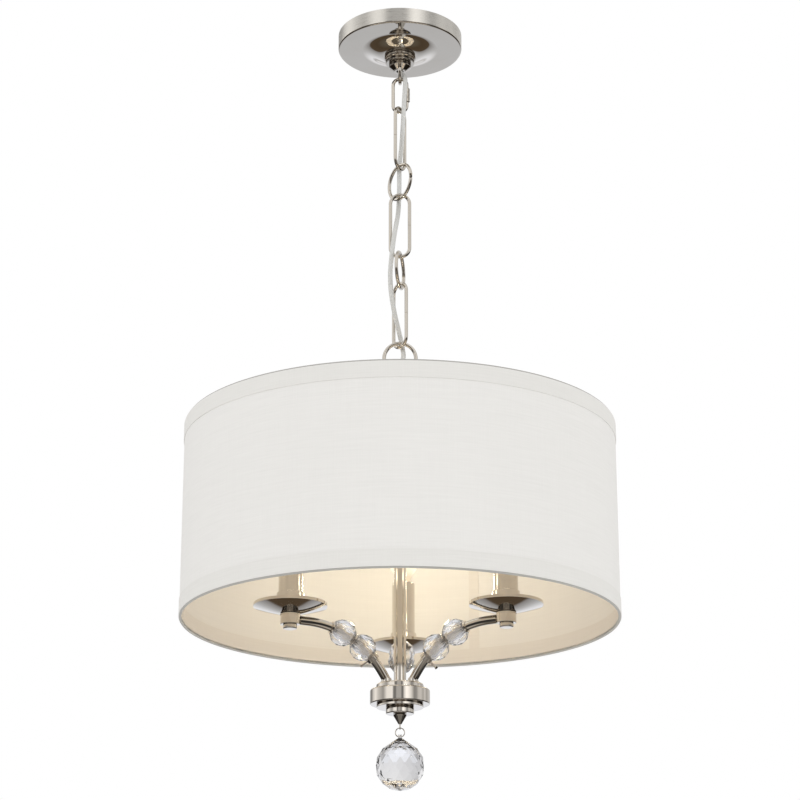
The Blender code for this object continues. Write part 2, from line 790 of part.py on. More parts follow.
def shade(fixture, shade_top, hub_plane):
    """Drum wall with its trim tapes, the two rolled rims and the spider that carries them."""
    shade_bottom = shade_top - SHADE_HEIGHT
    wall_top = shade_top - RIM_DIAMETER - GAP
    wall_bottom = shade_bottom + RIM_DIAMETER + GAP
    face = shade_radius - TRIM_THICKNESS
    liner = face - SHADE_WALL
    hem = liner - TRIM_THICKNESS
    upper = wall_top - TRIM_HEIGHT
    lower = wall_bottom + TRIM_HEIGHT
    outline = [
        (shade_radius, wall_top),
        (shade_radius, upper),
        (face, upper),
        (face, lower),
        (shade_radius, lower),
        (shade_radius, wall_bottom),
        (hem, wall_bottom),
        (hem, lower),
        (liner, lower),
        (liner, upper),
        (hem, upper),
        (hem, wall_top),
    ]
    add("shade_drum", turned(outline, SHADE_SIDES), LINEN, fixture)
    rim = half(RIM_DIAMETER)
    for name, height in (("shade_top_ring", shade_top - rim), ("shade_bottom_ring", shade_bottom + rim)):
        points = []
        for step in range(SHADE_SIDES):
            angle = math.tau * step / SHADE_SIDES
            across = shade_radius - rim
            points.append((across * math.cos(angle), across * math.sin(angle), height))
        add(name, wire(points, RIM_DIAMETER, loop=True, roundness=1), TRIM, fixture)

    hub = half(SPIDER_HUB_DIAMETER)
    rise = half(SPIDER_HUB_THICKNESS)
    outline = [
        (column_hole, hub_plane + rise),
        (hub, hub_plane + rise),
        (hub, hub_plane - rise),
        (column_hole, hub_plane - rise),
    ]
    spider = add("shade_spider", turned(outline, SMALL_SIDES), STEEL, fixture)
    reach = shade_radius - RIM_DIAMETER - GAP
    ring_plane = shade_top - rim
    start = half(hub + column_hole)
    for arm in range(SPIDER_ARMS):
        turn = Matrix.Rotation(math.radians(SPIDER_TURN) + math.tau * arm / SPIDER_ARMS, 4, "Z")
        route = (
            (start, hub_plane),
            (hub + SPIDER_WIRE, hub_plane),
            (reach - hub, ring_plane),
            (reach, ring_plane),
        )
        mesh = wire_mesh([(across, 0.0, height) for across, height in route], SPIDER_WIRE)
        mesh.transform(turn)
        join(spider, mesh)
    nut_top = hub_plane + rise + GAP + SPIDER_NUT_HEIGHT
    mesh, hole = hexagon_nut(SPIDER_NUT_FLATS, SPIDER_NUT_HEIGHT, column_hole, nut_top)
    cut(add("spider_nut", mesh, STEEL, fixture), hole)


# Hub and drop


def hub(fixture, column_bottom):
    """Cap, drum, ring and finial, stacked on the foot of the column."""
    ring_bottom = column_bottom - GAP
    ring_top = ring_bottom + HUB_RING_HEIGHT
    drum_bottom = ring_top + GAP
    drum_top = drum_bottom + HUB_DRUM_HEIGHT
    cap_bottom = drum_top + GAP
    cap_top = cap_bottom + HUB_CAP_THICKNESS
    hole = bore_for(column_hole, SMALL_SIDES)

    radius = half(HUB_CAP_DIAMETER)
    outline = [(hole, cap_top)]
    outline += rounded(radius, cap_top, HUB_CAP_EDGE, downward=-1)
    outline += [(radius, cap_bottom), (hole, cap_bottom)]
    cap = add("hub_cap", turned(outline, HUB_SIDES), NICKEL, fixture)
    pin_hole = bore_for(half(ARM_PIN_DIAMETER) + GAP, TINY_SIDES)
    for turn in ARM_TURNS:
        across = ARM_FOOT_RADIUS * math.cos(math.radians(turn))
        along = ARM_FOOT_RADIUS * math.sin(math.radians(turn))
        low = (across, along, cap_bottom - OVERRUN)
        high = (across, along, cap_top + OVERRUN)
        cut(cap, rod(pin_hole, low, high, TINY_SIDES))

    radius = half(HUB_DRUM_DIAMETER)
    wall = HUB_DRUM_WALL
    mouth = half(HUB_DRUM_MOUTH)
    slope = math.atan2(HUB_BEVEL_HEIGHT, HUB_BEVEL_WIDTH)
    floor = radius - HUB_BEVEL_WIDTH
    side = drum_bottom + HUB_BEVEL_HEIGHT
    inner_floor = floor - wall * math.tan(half(slope))
    inner_side = side + wall * math.tan(half(math.pi / 2 - slope))
    outline = [
        (mouth, drum_top),
        *rounded(radius, drum_top, HUB_DRUM_CHAMFER, downward=-1, steps=2),
        (radius, side),
        (floor, drum_bottom),
        (hole, drum_bottom),
        (hole, drum_bottom + wall),
        (inner_floor, drum_bottom + wall),
        (radius - wall, inner_side),
        (radius - wall, drum_top - wall),
        (mouth, drum_top - wall),
    ]
    add("hub_drum", turned(outline, HUB_SIDES), NICKEL, fixture)

    radius = half(HUB_RING_DIAMETER)
    outline = [(hole, ring_top), (radius, ring_top)]
    outline += rounded(radius, ring_bottom, HUB_RING_EDGE, steps=2)
    outline += [(hole, ring_bottom)]
    add("hub_ring", turned(outline, HUB_SIDES), NICKEL, fixture)

    finial_top = ring_bottom - GAP
    tip = finial_top - FINIAL_HEIGHT
    plug = column_radius - COLUMN_WALL - GAP
    radius = half(FINIAL_DIAMETER)
    outline = [
        (0.0, finial_top + FINIAL_PLUG_HEIGHT),
        (plug, finial_top + FINIAL_PLUG_HEIGHT),
        (plug, finial_top),
        (radius, finial_top),
        (radius, finial_top - FINIAL_BAND_HEIGHT),
        (half(FINIAL_TIP_DIAMETER), tip),
        (0.0, tip),
    ]
    finial = add("hub_finial", turned(outline, SMALL_SIDES, closed=False), NICKEL, fixture)
    shank_hole = bore_for(half(EYE_SHANK_DIAMETER) + GAP, TINY_SIDES)
    depth = EYE_SHANK_LENGTH + GAP
    cut(finial, rod(shank_hole, (0, 0, tip - OVERRUN), (0, 0, tip + depth), TINY_SIDES))
    return cap_top, tip


def crystal_drop(fixture, tip):
    """Screw eye in the finial, jump ring through it and the cut ball that hangs on the ring."""
    eye_centre = tip - GAP - half(EYE_DIAMETER)
    mesh = ring(EYE_DIAMETER, EYE_WIRE, EYE_TURN, (0, 0, eye_centre), LINK_STEPS, 2)
    eye = add("finial_eye", mesh, NICKEL, fixture)
    eye_top = tip - GAP - half(EYE_WIRE)
    shank_top = (0, 0, tip + EYE_SHANK_LENGTH)
    join(eye, rod(half(EYE_SHANK_DIAMETER), (0, 0, eye_top), shank_top, TINY_SIDES))

    eye_low = eye_centre - half(EYE_DIAMETER - EYE_WIRE)
    place = pivot("pivot_drop_ring", (0, 0, eye_low), fixture)
    top = half(EYE_WIRE) + GAP + DROP_RING_WIRE
    centre = top - half(DROP_RING_DIAMETER)
    mesh = ring(DROP_RING_DIAMETER, DROP_RING_WIRE, 0.0, (0, 0, centre), 2 * LINK_STEPS, 1)
    add("drop_ring", mesh, NICKEL, place)

    low = centre - half(DROP_RING_DIAMETER - DROP_RING_WIRE)
    place = pivot("pivot_crystal_ball", (0, 0, low), place)
    add("crystal_ball", ball_mesh(), CRYSTAL, place)


def ball_mesh():
    """Cut ball under a pointed top with a bored lug; the drop ring's lowest wire is at the origin."""
    radius = half(BALL_DIAMETER)
    ring_radius = half(DROP_RING_DIAMETER - DROP_RING_WIRE)
    bulge = half(LUG_DIAMETER) ** 2 / (2 * ring_radius)  # rise of the bent wire inside the lug
    hole_radius = half(DROP_RING_WIRE) + half(bulge) + BALL_HOLE_CLEARANCE
    hole_height = half(bulge)
    tip_height = hole_height + hole_radius + LUG_ABOVE_HOLE
    root_height = tip_height - LUG_HEIGHT
    middle = tip_height - BALL_NECK_LENGTH - radius
    shape = bmesh.new()
    for row, slope in enumerate(BALL_RINGS):
        angle = math.radians(slope)
        facet_ring(shape, radius * math.cos(angle), middle + radius * math.sin(angle), row, BALL_SIDES)
    crown_height = tip_height - BALL_CROWN_DROP
    facet_ring(shape, half(BALL_CROWN_DIAMETER), crown_height, len(BALL_RINGS), BALL_SIDES)
    facet_ring(shape, half(LUG_DIAMETER), root_height, 0, BALL_SIDES)
    shape.verts.new((0, 0, middle - radius))
    ball = add("ball", hull(shape))
    foot = (0, 0, root_height - half(LUG_HEIGHT))
    low = half(LUG_DIAMETER)
    join(ball, rod(low, foot, (0, 0, tip_height), BALL_SIDES, half(LUG_TIP_DIAMETER)))
    hole = bore_for(hole_radius, TINY_SIDES)
    reach = half(LUG_DIAMETER) + OVERRUN
    cut(ball, rod(hole, (-reach, 0, hole_height), (reach, 0, hole_height), TINY_SIDES))
    return flat_result(ball)


def facet_ring(shape, radius, height, row, sides):
    """A row of facet corners, half a step round from the row before."""
    for step in range(sides):
        angle = math.tau * (step + half(row % 2)) / sides
        shape.verts.new((radius * math.cos(angle), radius * math.sin(angle), height))


def hull(shape):
    """The cut stone whose corners are the given points."""
    found = bmesh.ops.convex_hull(shape, input=shape.verts)
    loose = [item for item in found["geom_unused"] if isinstance(item, bmesh.types.BMVert)]
    bmesh.ops.delete(shape, geom=loose, context="VERTS")
    bmesh.ops.recalc_face_normals(shape, faces=shape.faces)
    mesh = bpy.data.meshes.new("stone")
    shape.to_mesh(mesh)
    shape.free()
    return mesh


def flat_result(item):
    """The finished mesh of a cut stone, for copies to share, without its tools."""
    tools = [change.object for change in item.modifiers]
    mesh = mesh_of(item)
    for tool in tools:
        bpy.data.objects.remove(tool)
    return mesh


# Arms


def arm_bend_turned(place):
    """How far the arm has bent at a distance along it, in radians."""
    return min(max(place - ARM_STRAIGHT, 0) / ARM_BEND_RADIUS, arm_slope)


def arm_point(place):
    """Middle line of an arm at a distance along it: radius, height and slope."""
    across = ARM_FOOT_RADIUS
    height = ARM_FOOT_RISE
    straight = min(place, ARM_STRAIGHT)
    across += straight * math.cos(arm_slope)
    height += straight * math.sin(arm_slope)
    bent = arm_bend_turned(place)
    slope = arm_slope - bent
    across += ARM_BEND_RADIUS * (math.sin(arm_slope) - math.sin(slope))
    height += ARM_BEND_RADIUS * (math.cos(slope) - math.cos(arm_slope))
    level = max(place - ARM_STRAIGHT - ARM_BEND_RADIUS * arm_slope, 0)
    return across + level, height, slope


def on_arm(name, mesh, material, parent, place, spin=0.0):
    """Set a piece, modelled about Z, square on the arm at a distance along it."""
    across, height, slope = arm_point(place)
    item = add(name, mesh, material, parent)
    item.location = (across, 0, height)
    item.rotation_euler = (
        Matrix.Rotation(math.pi / 2 - slope, 3, "Y") @ Matrix.Rotation(math.radians(spin), 3, "Z")
    ).to_euler()
    return item


def tilt_room(half_length, radius):
    """Room that a straight piece needs beside its neighbour on a bent arm."""
    return GAP + radius * half_length / ARM_BEND_RADIUS


bead_half = half(BEAD_LENGTH)
bead_face = math.sqrt(half(BEAD_DIAMETER) ** 2 - bead_half**2)
bead_bore = arm_radius + GAP + BEAD_LENGTH**2 / (8 * ARM_BEND_RADIUS)
collar_end = BEAD_COLLAR_PLACE + half(BEAD_COLLAR_LENGTH)
collar_radius = arm_radius + GAP + BEAD_COLLAR_WALL
bead_lower_place = collar_end + tilt_room(bead_half, collar_radius) + bead_half
spacer_room = tilt_room(bead_half, half(SPACER_DIAMETER))
spacer_place = bead_lower_place + bead_half + spacer_room + half(SPACER_THICKNESS)
bead_upper_place = spacer_place + half(SPACER_THICKNESS) + spacer_room + bead_half
stop_place = bead_upper_place + bead_half + tilt_room(bead_half, half(STOP_DIAMETER)) + half(STOP_THICKNESS)
arm_level_start = ARM_STRAIGHT + ARM_BEND_RADIUS * arm_slope
cup_place = arm_level_start + ARM_LEVEL_RUN


def bead_mesh():
    """Faceted bead about Z with a bore for the arm."""
    radius = half(BEAD_DIAMETER)
    shape = bmesh.new()
    facet_ring(shape, bead_face, -bead_half, 1, BEAD_SIDES)
    for row, slope in enumerate(BEAD_RINGS):
        angle = math.radians(slope)
        facet_ring(shape, radius * math.cos(angle), radius * math.sin(angle), row, BEAD_SIDES)
    facet_ring(shape, bead_face, bead_half, 1, BEAD_SIDES)
    reach = bead_half + OVERRUN
    bead = add("bead", hull(shape))
    cut(bead, rod(bore_for(bead_bore, TINY_SIDES), (0, 0, -reach), (0, 0, reach), TINY_SIDES))
    return flat_result(bead)


def arm_piece(number, parent):
    """The bent arm with its ferrule, pin, bead stop and spigot."""
    tip_radius_place = cup_place - half(HOLDER_DIAMETER) - GAP
    steps = 8
    places = [0.0, ARM_STRAIGHT]
    places += [ARM_STRAIGHT + ARM_BEND_RADIUS * arm_slope * (step + 1) / steps for step in range(steps)]
    places += [tip_radius_place]
    foot = ARM_FOOT_RADIUS
    points = [(foot, 0.0, GAP)]
    for place in places:
        across, height, _ = arm_point(place)
        points.append((across, 0.0, height))
    arm = add(f"arm_{number}", wire_mesh(points, ARM_DIAMETER), NICKEL, parent)
    join(arm, rod(half(FERRULE_DIAMETER), (foot, 0, 0), (foot, 0, FERRULE_HEIGHT), SMALL_SIDES))
    pin_low = -HUB_CAP_THICKNESS
    join(arm, rod(half(ARM_PIN_DIAMETER), (foot, 0, pin_low), (foot, 0, half(FERRULE_HEIGHT)), TINY_SIDES))
    lower, upper = (
        Vector((across, 0, height))
        for across, height, _ in (arm_point(stop_place + side * half(STOP_THICKNESS)) for side in (-1, 1))
    )
    join(arm, rod(half(STOP_DIAMETER), lower, upper, TINY_SIDES))
    across, height, _ = arm_point(tip_radius_place)
    reach = across + GAP + SPIGOT_LENGTH
    inside = across - ARM_DIAMETER
    join(arm, rod(half(SPIGOT_DIAMETER), (inside, 0, height), (reach, 0, height), TINY_SIDES))


def bead_collar(number, parent, thumb_turn):
    """Ring that closes up the beads, with its thumb screw."""
    rise = half(BEAD_COLLAR_LENGTH)
    bore = bore_for(arm_radius + GAP, SMALL_SIDES)
    outline = [(bore, rise), (collar_radius, rise), (collar_radius, -rise), (bore, -rise)]
    mesh = turned(outline, SMALL_SIDES)
    collar = on_arm(f"bead_collar_{number}", mesh, NICKEL, parent, BEAD_COLLAR_PLACE, thumb_turn)
    start = half(arm_radius + collar_radius) + GAP
    end = collar_radius + THUMB_SCREW_LENGTH
    join(collar, rod(half(THUMB_SCREW_DIAMETER), (-start, 0, 0), (-end, 0, 0), TINY_SIDES))
    head = end - THUMB_HEAD_LENGTH
    join(
        collar,
        rod(
            half(THUMB_SCREW_DIAMETER),
            (-head, 0, 0),
            (-end - GAP, 0, 0),
            TINY_SIDES,
            half(THUMB_HEAD_DIAMETER),
        ),
    )


def cup_holder(number, parent, across, height):
    """Body at the arm's end, with a bottom cap and a stud through the dish."""
    body = half(HOLDER_DIAMETER)
    cap = half(HOLDER_CAP_DIAMETER)
    stud = half(STUD_DIAMETER)
    top = height + HOLDER_ABOVE_ARM
    bottom = height - HOLDER_BELOW_ARM
    low = bottom - HOLDER_CAP_HEIGHT
    outline = [
        (0.0, top + STUD_HEIGHT),
        (stud, top + STUD_HEIGHT),
        (stud, top),
        (body, top),
        *rounded(body, bottom, HOLDER_EDGE, steps=1),
        (cap, bottom),
        *rounded(cap, low, HOLDER_EDGE, steps=2),
        (0.0, low),
    ]
    holder = add(f"cup_holder_{number}", turned(outline, SMALL_SIDES, closed=False), NICKEL, parent)
    holder.location.x = across
    socket = bore_for(half(SPIGOT_DIAMETER) + GAP, TINY_SIDES)
    inner = -body + SPIGOT_LENGTH + GAP
    cut(holder, rod(socket, (-body - OVERRUN, 0, height), (inner, 0, height), TINY_SIDES))
    return top


def dish_rise(radius):
    """Height of the dish's underside above its seat."""
    inner = half(HOLDER_DIAMETER)
    share = (radius - inner) / (half(DISH_DIAMETER) - inner)
    return DISH_DEPTH * max(share, 0) ** DISH_CURVE


def candle(number, parent, across, seat):
    """Drip dish, sleeve, lampholder and lamp over a cup holder."""
    under = seat + GAP
    rim = half(DISH_DIAMETER)
    inner = half(HOLDER_DIAMETER)
    steps = 3
    outline = [(rim, under + DISH_DEPTH + DISH_LIP)]
    for step in range(steps + 1):
        radius = rim + (inner - rim) * step / steps
        outline.append((radius, under + dish_rise(radius)))
    outline.append((bore_for(half(STUD_DIAMETER) + GAP, SMALL_SIDES), under))
    dish = add(f"drip_dish_{number}", turned(outline, DISH_SIDES, wall=DISH_WALL), NICKEL, parent)
    dish.location.x = across

    foot = half(SLEEVE_FOOT_DIAMETER)
    radius = half(SLEEVE_DIAMETER)
    bore = radius - SLEEVE_WALL
    low = under + dish_rise(foot) + DISH_WALL + 2 * GAP
    shoulder = low + SLEEVE_FOOT_HEIGHT
    top = low + SLEEVE_HEIGHT
    outline = [
        (bore, top),
        (radius, top),
        (radius, shoulder + half(foot - radius)),
        (half(foot + radius), shoulder),
        (foot, low),
        (bore, low),
    ]
    sleeve = add(f"candle_sleeve_{number}", turned(outline, SMALL_SIDES), NICKEL, parent)
    sleeve.location.x = across

    shell = bore - LAMPHOLDER_CLEARANCE
    socket = half(LAMP_BASE_DIAMETER) + LAMP_BASE_CLEARANCE
    base = seat + STUD_HEIGHT + GAP
    mouth = top - LAMPHOLDER_RECESS
    floor = mouth - SOCKET_DEPTH
    outline = [(socket, mouth), (shell, mouth), (shell, base), (0.0, base), (0.0, floor), (socket, floor)]
    holder = add(f"lampholder_{number}", turned(outline, SMALL_SIDES), PHENOLIC, parent)
    holder.location.x = across

    add_lamp(number, parent, across, mouth, floor)


def add_lamp(number, parent, across, mouth, floor):
    """Candle lamp: screw base, neck that swells to the widest place, then a pointed flame."""
    neck = half(LAMP_BASE_DIAMETER)
    widest = half(LAMP_DIAMETER)
    start = mouth + GAP
    swell = LAMP_LENGTH * LAMP_WIDEST_SHARE
    steps = 5
    outline = []
    for step in range(steps):
        share = 1 - step / steps
        radius = widest * math.cos(math.pi / 2 * share) ** LAMP_POINT_CURVE
        outline.append((radius if step else 0.0, start + swell + (LAMP_LENGTH - swell) * share))
    for step in range(steps + 1):
        share = 1 - step / steps
        radius = neck + (widest - neck) * (1 - math.cos(math.pi * share)) / 2
        outline.append((radius, start + swell * share))
    outline += [(neck, floor + GAP), (0.0, floor + GAP)]
    lamp = add(f"lamp_{number}", turned(outline, SMALL_SIDES, closed=False), LAMP, parent)
    lamp.location.x = across


def arms(fixture, cap_top):
    """Three arms, each built along +X of its own empty."""
    beads = bead_mesh()
    spacer = half(SPACER_DIAMETER)
    spacer_bore = bore_for(arm_radius + GAP, SMALL_SIDES)
    rise = half(SPACER_THICKNESS)
    outline = [(spacer_bore, rise), (spacer, rise), (spacer, -rise), (spacer_bore, -rise)]
    for number, (turn, thumb) in enumerate(zip(ARM_TURNS, THUMB_TURNS), start=1):
        frame = pivot(f"arm_frame_{number}", (0, 0, cap_top + GAP), fixture, turn)
        arm_piece(number, frame)
        bead_collar(number, frame, thumb)
        for name, place in (("bead_lower", bead_lower_place), ("bead_upper", bead_upper_place)):
            on_arm(f"{name}_{number}", beads.copy(), CRYSTAL, frame, place)
        on_arm(f"bead_spacer_{number}", turned(outline, SMALL_SIDES), NICKEL, frame, spacer_place)
        across, height, _ = arm_point(cup_place)
        seat = cup_holder(number, frame, across, height)
        candle(number, frame, across, seat)


def main():
    canopy()
    crossbar()
    ceiling_fittings()
    canopy_collar()
    canopy_loop()
    fixture = chain()
    add("supply_cord", wire(cord_route(), CORD_DIAMETER), CORD)
    shade_top, hub_plane, column_bottom = column(fixture)
    shade(fixture, shade_top, hub_plane)
    cap_top, tip = hub(fixture, column_bottom)
    crystal_drop(fixture, tip)
    arms(fixture, cap_top)
    bpy.context.view_layer.update()


main()
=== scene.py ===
import json
import math
from functools import partial

import bmesh
import bpy
from mathutils import Matrix, Vector

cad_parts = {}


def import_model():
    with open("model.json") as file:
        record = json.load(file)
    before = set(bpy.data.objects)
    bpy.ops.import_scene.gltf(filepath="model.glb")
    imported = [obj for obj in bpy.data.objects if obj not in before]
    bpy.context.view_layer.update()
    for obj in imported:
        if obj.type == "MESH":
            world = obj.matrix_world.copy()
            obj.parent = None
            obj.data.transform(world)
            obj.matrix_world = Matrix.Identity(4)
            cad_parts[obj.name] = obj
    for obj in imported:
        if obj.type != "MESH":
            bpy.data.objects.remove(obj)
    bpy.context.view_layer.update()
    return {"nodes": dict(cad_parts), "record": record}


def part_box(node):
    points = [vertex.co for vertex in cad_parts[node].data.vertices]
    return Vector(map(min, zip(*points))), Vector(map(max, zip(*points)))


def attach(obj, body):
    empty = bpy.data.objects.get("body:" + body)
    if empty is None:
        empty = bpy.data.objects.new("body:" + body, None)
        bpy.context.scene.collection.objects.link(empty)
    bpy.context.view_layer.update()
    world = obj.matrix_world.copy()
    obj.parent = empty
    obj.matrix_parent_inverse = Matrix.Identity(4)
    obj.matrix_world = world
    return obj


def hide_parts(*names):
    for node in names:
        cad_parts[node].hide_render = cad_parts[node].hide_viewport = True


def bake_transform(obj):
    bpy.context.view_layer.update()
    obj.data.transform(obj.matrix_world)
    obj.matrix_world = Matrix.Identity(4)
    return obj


# Drum chandelier on a chain: a linen drum shade round three candle arms with crystal beads.
# Metres, +Z up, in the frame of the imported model; the ceiling is at z = 0.

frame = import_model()
joints = frame["record"]["behaviour"]["joints"]
joint_place = {joint["name"]: Vector(joint["pos_m"]) for joint in joints}

# Fits, as in the part's source
GAP = 0.0003
MERGE = 0.00001
OVERRUN = 0.002
SHARP_ANGLE = math.radians(32.0)

# Camera, measured on the shade's and the canopy's ellipses
CAMERA_DISTANCE = 2.086
CAMERA_HEIGHT = -1.0816
CAMERA_TURN = math.radians(1.7)
CAMERA_TILT = math.radians(108.5)
CAMERA_LENS = 104.2
CAMERA_SENSOR = 36.0

# Ceiling end
CANOPY_EDGE_RADIUS = 0.0015
CANOPY_RIM_HEIGHT = 0.0153
CANOPY_WALL = 0.0012
BELL_DIAMETER = 0.076
STEM_WALL = 0.0022
NIPPLE_BORE = 0.007
NIPPLE_WALL = 0.0014
NIPPLE_GRIP = 0.005
COLLAR_EDGE = 0.0012
COLLAR_STEP = 0.0011
COLLAR_TEETH = 44
LOOP_FLANGE_DIAMETER = 0.022
LOOP_FLANGE_HEIGHT = 0.004
LOOP_BOSS_DIAMETER = 0.012
LOOP_BOSS_HEIGHT = 0.004
CANOPY_LOOP_DIAMETER = 0.025
CANOPY_LOOP_CENTRE_SHARE = 0.49
CANOPY_LOOP_TURN = math.radians(90.0)

# Chain
CHAIN_WIRE = 0.0034
CHAIN_HANG = CHAIN_WIRE + GAP
QUICK_LINK_LENGTH = 0.0395
QUICK_LINK_WIDTH = 0.017
QUICK_LINK_MOUTH = 0.006
QUICK_NUT_WALL = 0.0010
QUICK_NUT_RIBS = 9
LONG_LINK_LENGTH = 0.0685
LONG_LINK_WIDTH = 0.022
CHAIN_RING_DIAMETER = 0.0388
SEAM = 0.0003
# Each piece below the quick link: its name, its turn in degrees, the side that its seam is on.
CHAIN_ORDER = (
    ("long_link_1", 62.0, -1),
    ("chain_ring_1", -52.0, 1),
    ("long_link_2", 0.0, 1),
    ("chain_ring_2", 80.0, 1),
    ("long_link_3", -48.0, 1),
)

# Column
COLUMN_LOOP_DIAMETER = 0.034
COLUMN_LOOP_WIRE = 0.0036
COLUMN_LOOP_TURN = math.radians(3.0)
COUPLING_WALL = 0.0019
COUPLING_LENGTH = 0.0165
COUPLING_SOCKET_DEPTH = 0.008
COUPLING_GROOVE = 0.0004
COLUMN_DIAMETER = 0.0112
COLUMN_WALL = 0.001
COLUMN_SEAT_DIAMETER = 0.018
COLUMN_SEAT_THICKNESS = 0.003
CORD_DIAMETER = 0.0045
CORD_HOLE_CLEARANCE = 0.0013

# Shade
SHADE_WALL = 0.0015
LINER_THICKNESS = 0.0005
TRIM_HEIGHT = 0.012
TRIM_THICKNESS = 0.0006
BINDING_SHOWN = 0.0016
RIM_DIAMETER = 0.0046
LAP_TURN = math.radians(70.0)
LAP_WIDTH = 0.0105
LAP_THICKNESS = 0.0004
LAP_STEPS = 8
SPIDER_WIRE = 0.0034
SPIDER_HUB_DIAMETER = 0.032
SPIDER_HUB_THICKNESS = 0.0026
SPIDER_TURN = math.radians(30.0)
SPIDER_ARMS = 3

# Hub and drop
HUB_CAP_EDGE = 0.0014
HUB_CAP_LOWER_EDGE = HUB_CAP_EDGE / 5
HUB_DRUM_WALL = 0.0018
HUB_DRUM_CHAMFER = 0.0014
HUB_DRUM_MOUTH = 0.024
HUB_STEP_WIDTH = 0.0058
HUB_STEP_HEIGHT = 0.0029
HUB_STEP_EDGE = 0.0010
HUB_RING_EDGE = 0.001
HUB_RING_UPPER_EDGE = HUB_RING_EDGE / 4
FINIAL_DIAMETER = 0.0124
FINIAL_TIP_DIAMETER = 0.0024
FINIAL_BAND_HEIGHT = 0.0012
FINIAL_HEIGHT = 0.009
FINIAL_PLUG_HEIGHT = 0.007
EYE_DIAMETER = 0.0047
EYE_WIRE = 0.0010
EYE_TURN = math.radians(90.0)
EYE_SHANK_DIAMETER = 0.0008
EYE_SHANK_LENGTH = 0.004
DROP_RING_DIAMETER = 0.0092
DROP_RING_WIRE = 0.0009
BALL_DIAMETER = 0.0446
BALL_NECK_LENGTH = 0.0064
BALL_CROWN_DIAMETER = 0.0168
BALL_CROWN_DROP = 0.0077
BALL_HOLE_CLEARANCE = 0.0006
LUG_DIAMETER = 0.0044
LUG_TIP_DIAMETER = 0.0032
LUG_HEIGHT = 0.0036
LUG_ABOVE_HOLE = 0.0007
BALL_SIDES = 12
BALL_ROWS = 6
BALL_LOWEST_SLOPE = math.radians(-66.0)
BALL_HIGHEST_SLOPE = math.radians(44.0)
STONE_EDGE = 0.0001
FLAT_ANGLE = math.radians(1.0)
FACET_ANGLE = math.radians(5.0)
BORE_ANGLE = math.radians(10.0)

# Arms
ARM_TURNS = (math.radians(90.0), math.radians(210.0), math.radians(330.0))
THUMB_TURNS = (math.radians(180.0), math.radians(120.0), math.radians(180.0))
ARM_FOOT_RADIUS = 0.014
ARM_FOOT_RISE = 0.0025
ARM_DIAMETER = 0.0082
ARM_SLOPE = math.radians(56.0)
ARM_STRAIGHT = 0.0062
ARM_BEND_RADIUS = 0.092
ARM_LEVEL_RUN = 0.0182
FERRULE_DIAMETER = 0.0105
FERRULE_HEIGHT = 0.004
FERRULE_EDGE = 0.0006
ARM_PIN_DIAMETER = 0.0064
SPIGOT_DIAMETER = 0.006
SPIGOT_LENGTH = 0.005
BEAD_COLLAR_PLACE = 0.0235
BEAD_COLLAR_LENGTH = 0.0042
BEAD_COLLAR_WALL = 0.0014
BEAD_COLLAR_EDGE = 0.0004
THUMB_SCREW_DIAMETER = 0.0018
THUMB_SCREW_LENGTH = 0.0085
THUMB_HEAD_DIAMETER = 0.0032
THUMB_HEAD_LENGTH = 0.0016
BEAD_DIAMETER = 0.025
BEAD_LENGTH = 0.0205
BEAD_SIDES = 10
BEAD_ROWS = 3
BEAD_SLOPE = math.radians(27.0)
SPACER_DIAMETER = 0.012
SPACER_THICKNESS = 0.0012
STOP_DIAMETER = 0.011
STOP_THICKNESS = 0.0016

# Candle cups
HOLDER_DIAMETER = 0.0179
HOLDER_ABOVE_ARM = 0.0046
HOLDER_BELOW_ARM = 0.005
HOLDER_CAP_DIAMETER = 0.0127
HOLDER_CAP_HEIGHT = 0.004
HOLDER_EDGE = 0.0004
HOLDER_CAP_EDGE = 0.001
HOLDER_TEETH = 40
HOLDER_TOOTH = 0.0005
STUD_DIAMETER = 0.0096
STUD_HEIGHT = 0.009
DISH_DIAMETER = 0.0668
DISH_LIP = 0.0026
DISH_DEPTH = 0.0066
DISH_WALL = 0.0009
DISH_CURVE = 1.15
SLEEVE_DIAMETER = 0.022
SLEEVE_WALL = 0.0008
SLEEVE_HEIGHT = 0.066
SLEEVE_FOOT_DIAMETER = 0.0262
SLEEVE_FOOT_HEIGHT = 0.0168
SLEEVE_STEP_DIAMETER = 0.0250
SLEEVE_STEP_HEIGHT = 0.003
LAMPHOLDER_CLEARANCE = 0.0015
LAMPHOLDER_RECESS = 0.0095
SOCKET_DEPTH = 0.021
LAMP_BASE_DIAMETER = 0.0118
LAMP_BASE_CLEARANCE = 0.0004
LAMP_DIAMETER = 0.032
LAMP_LENGTH = 0.083
LAMP_WIDEST_SHARE = 0.42
LAMP_POINT_CURVE = 0.8
LAMP_NECK_CURVE = 1.8
LAMP_POWERS = (0.41, 0.06, 0.06)
LAMP_LIGHT_SHARE = 0.17
LAMP_COLOUR = (1.0, 0.97, 0.80)
LAMP_GLOW = (0.9, 1.1)

# Roundness
TURNED_SIDES = 72
SMALL_SIDES = 48
SHADE_SIDES = 192
WIRE_SIDES = 20
FINE_WIRE_SIDES = 16
ARM_SIDES = 32
SCREW_SIDES = 24
BEND_STEPS = 24
CORD_STEPS = 12
DISH_STEPS = 16
LAMP_STEPS = 20
# Steps in a rounded edge, from a broken edge to the canopy's.
BROKEN_STEPS = 3
SMALL_STEPS = 4
EDGE_STEPS = 5
BROAD_STEPS = 6
CANOPY_STEPS = 8

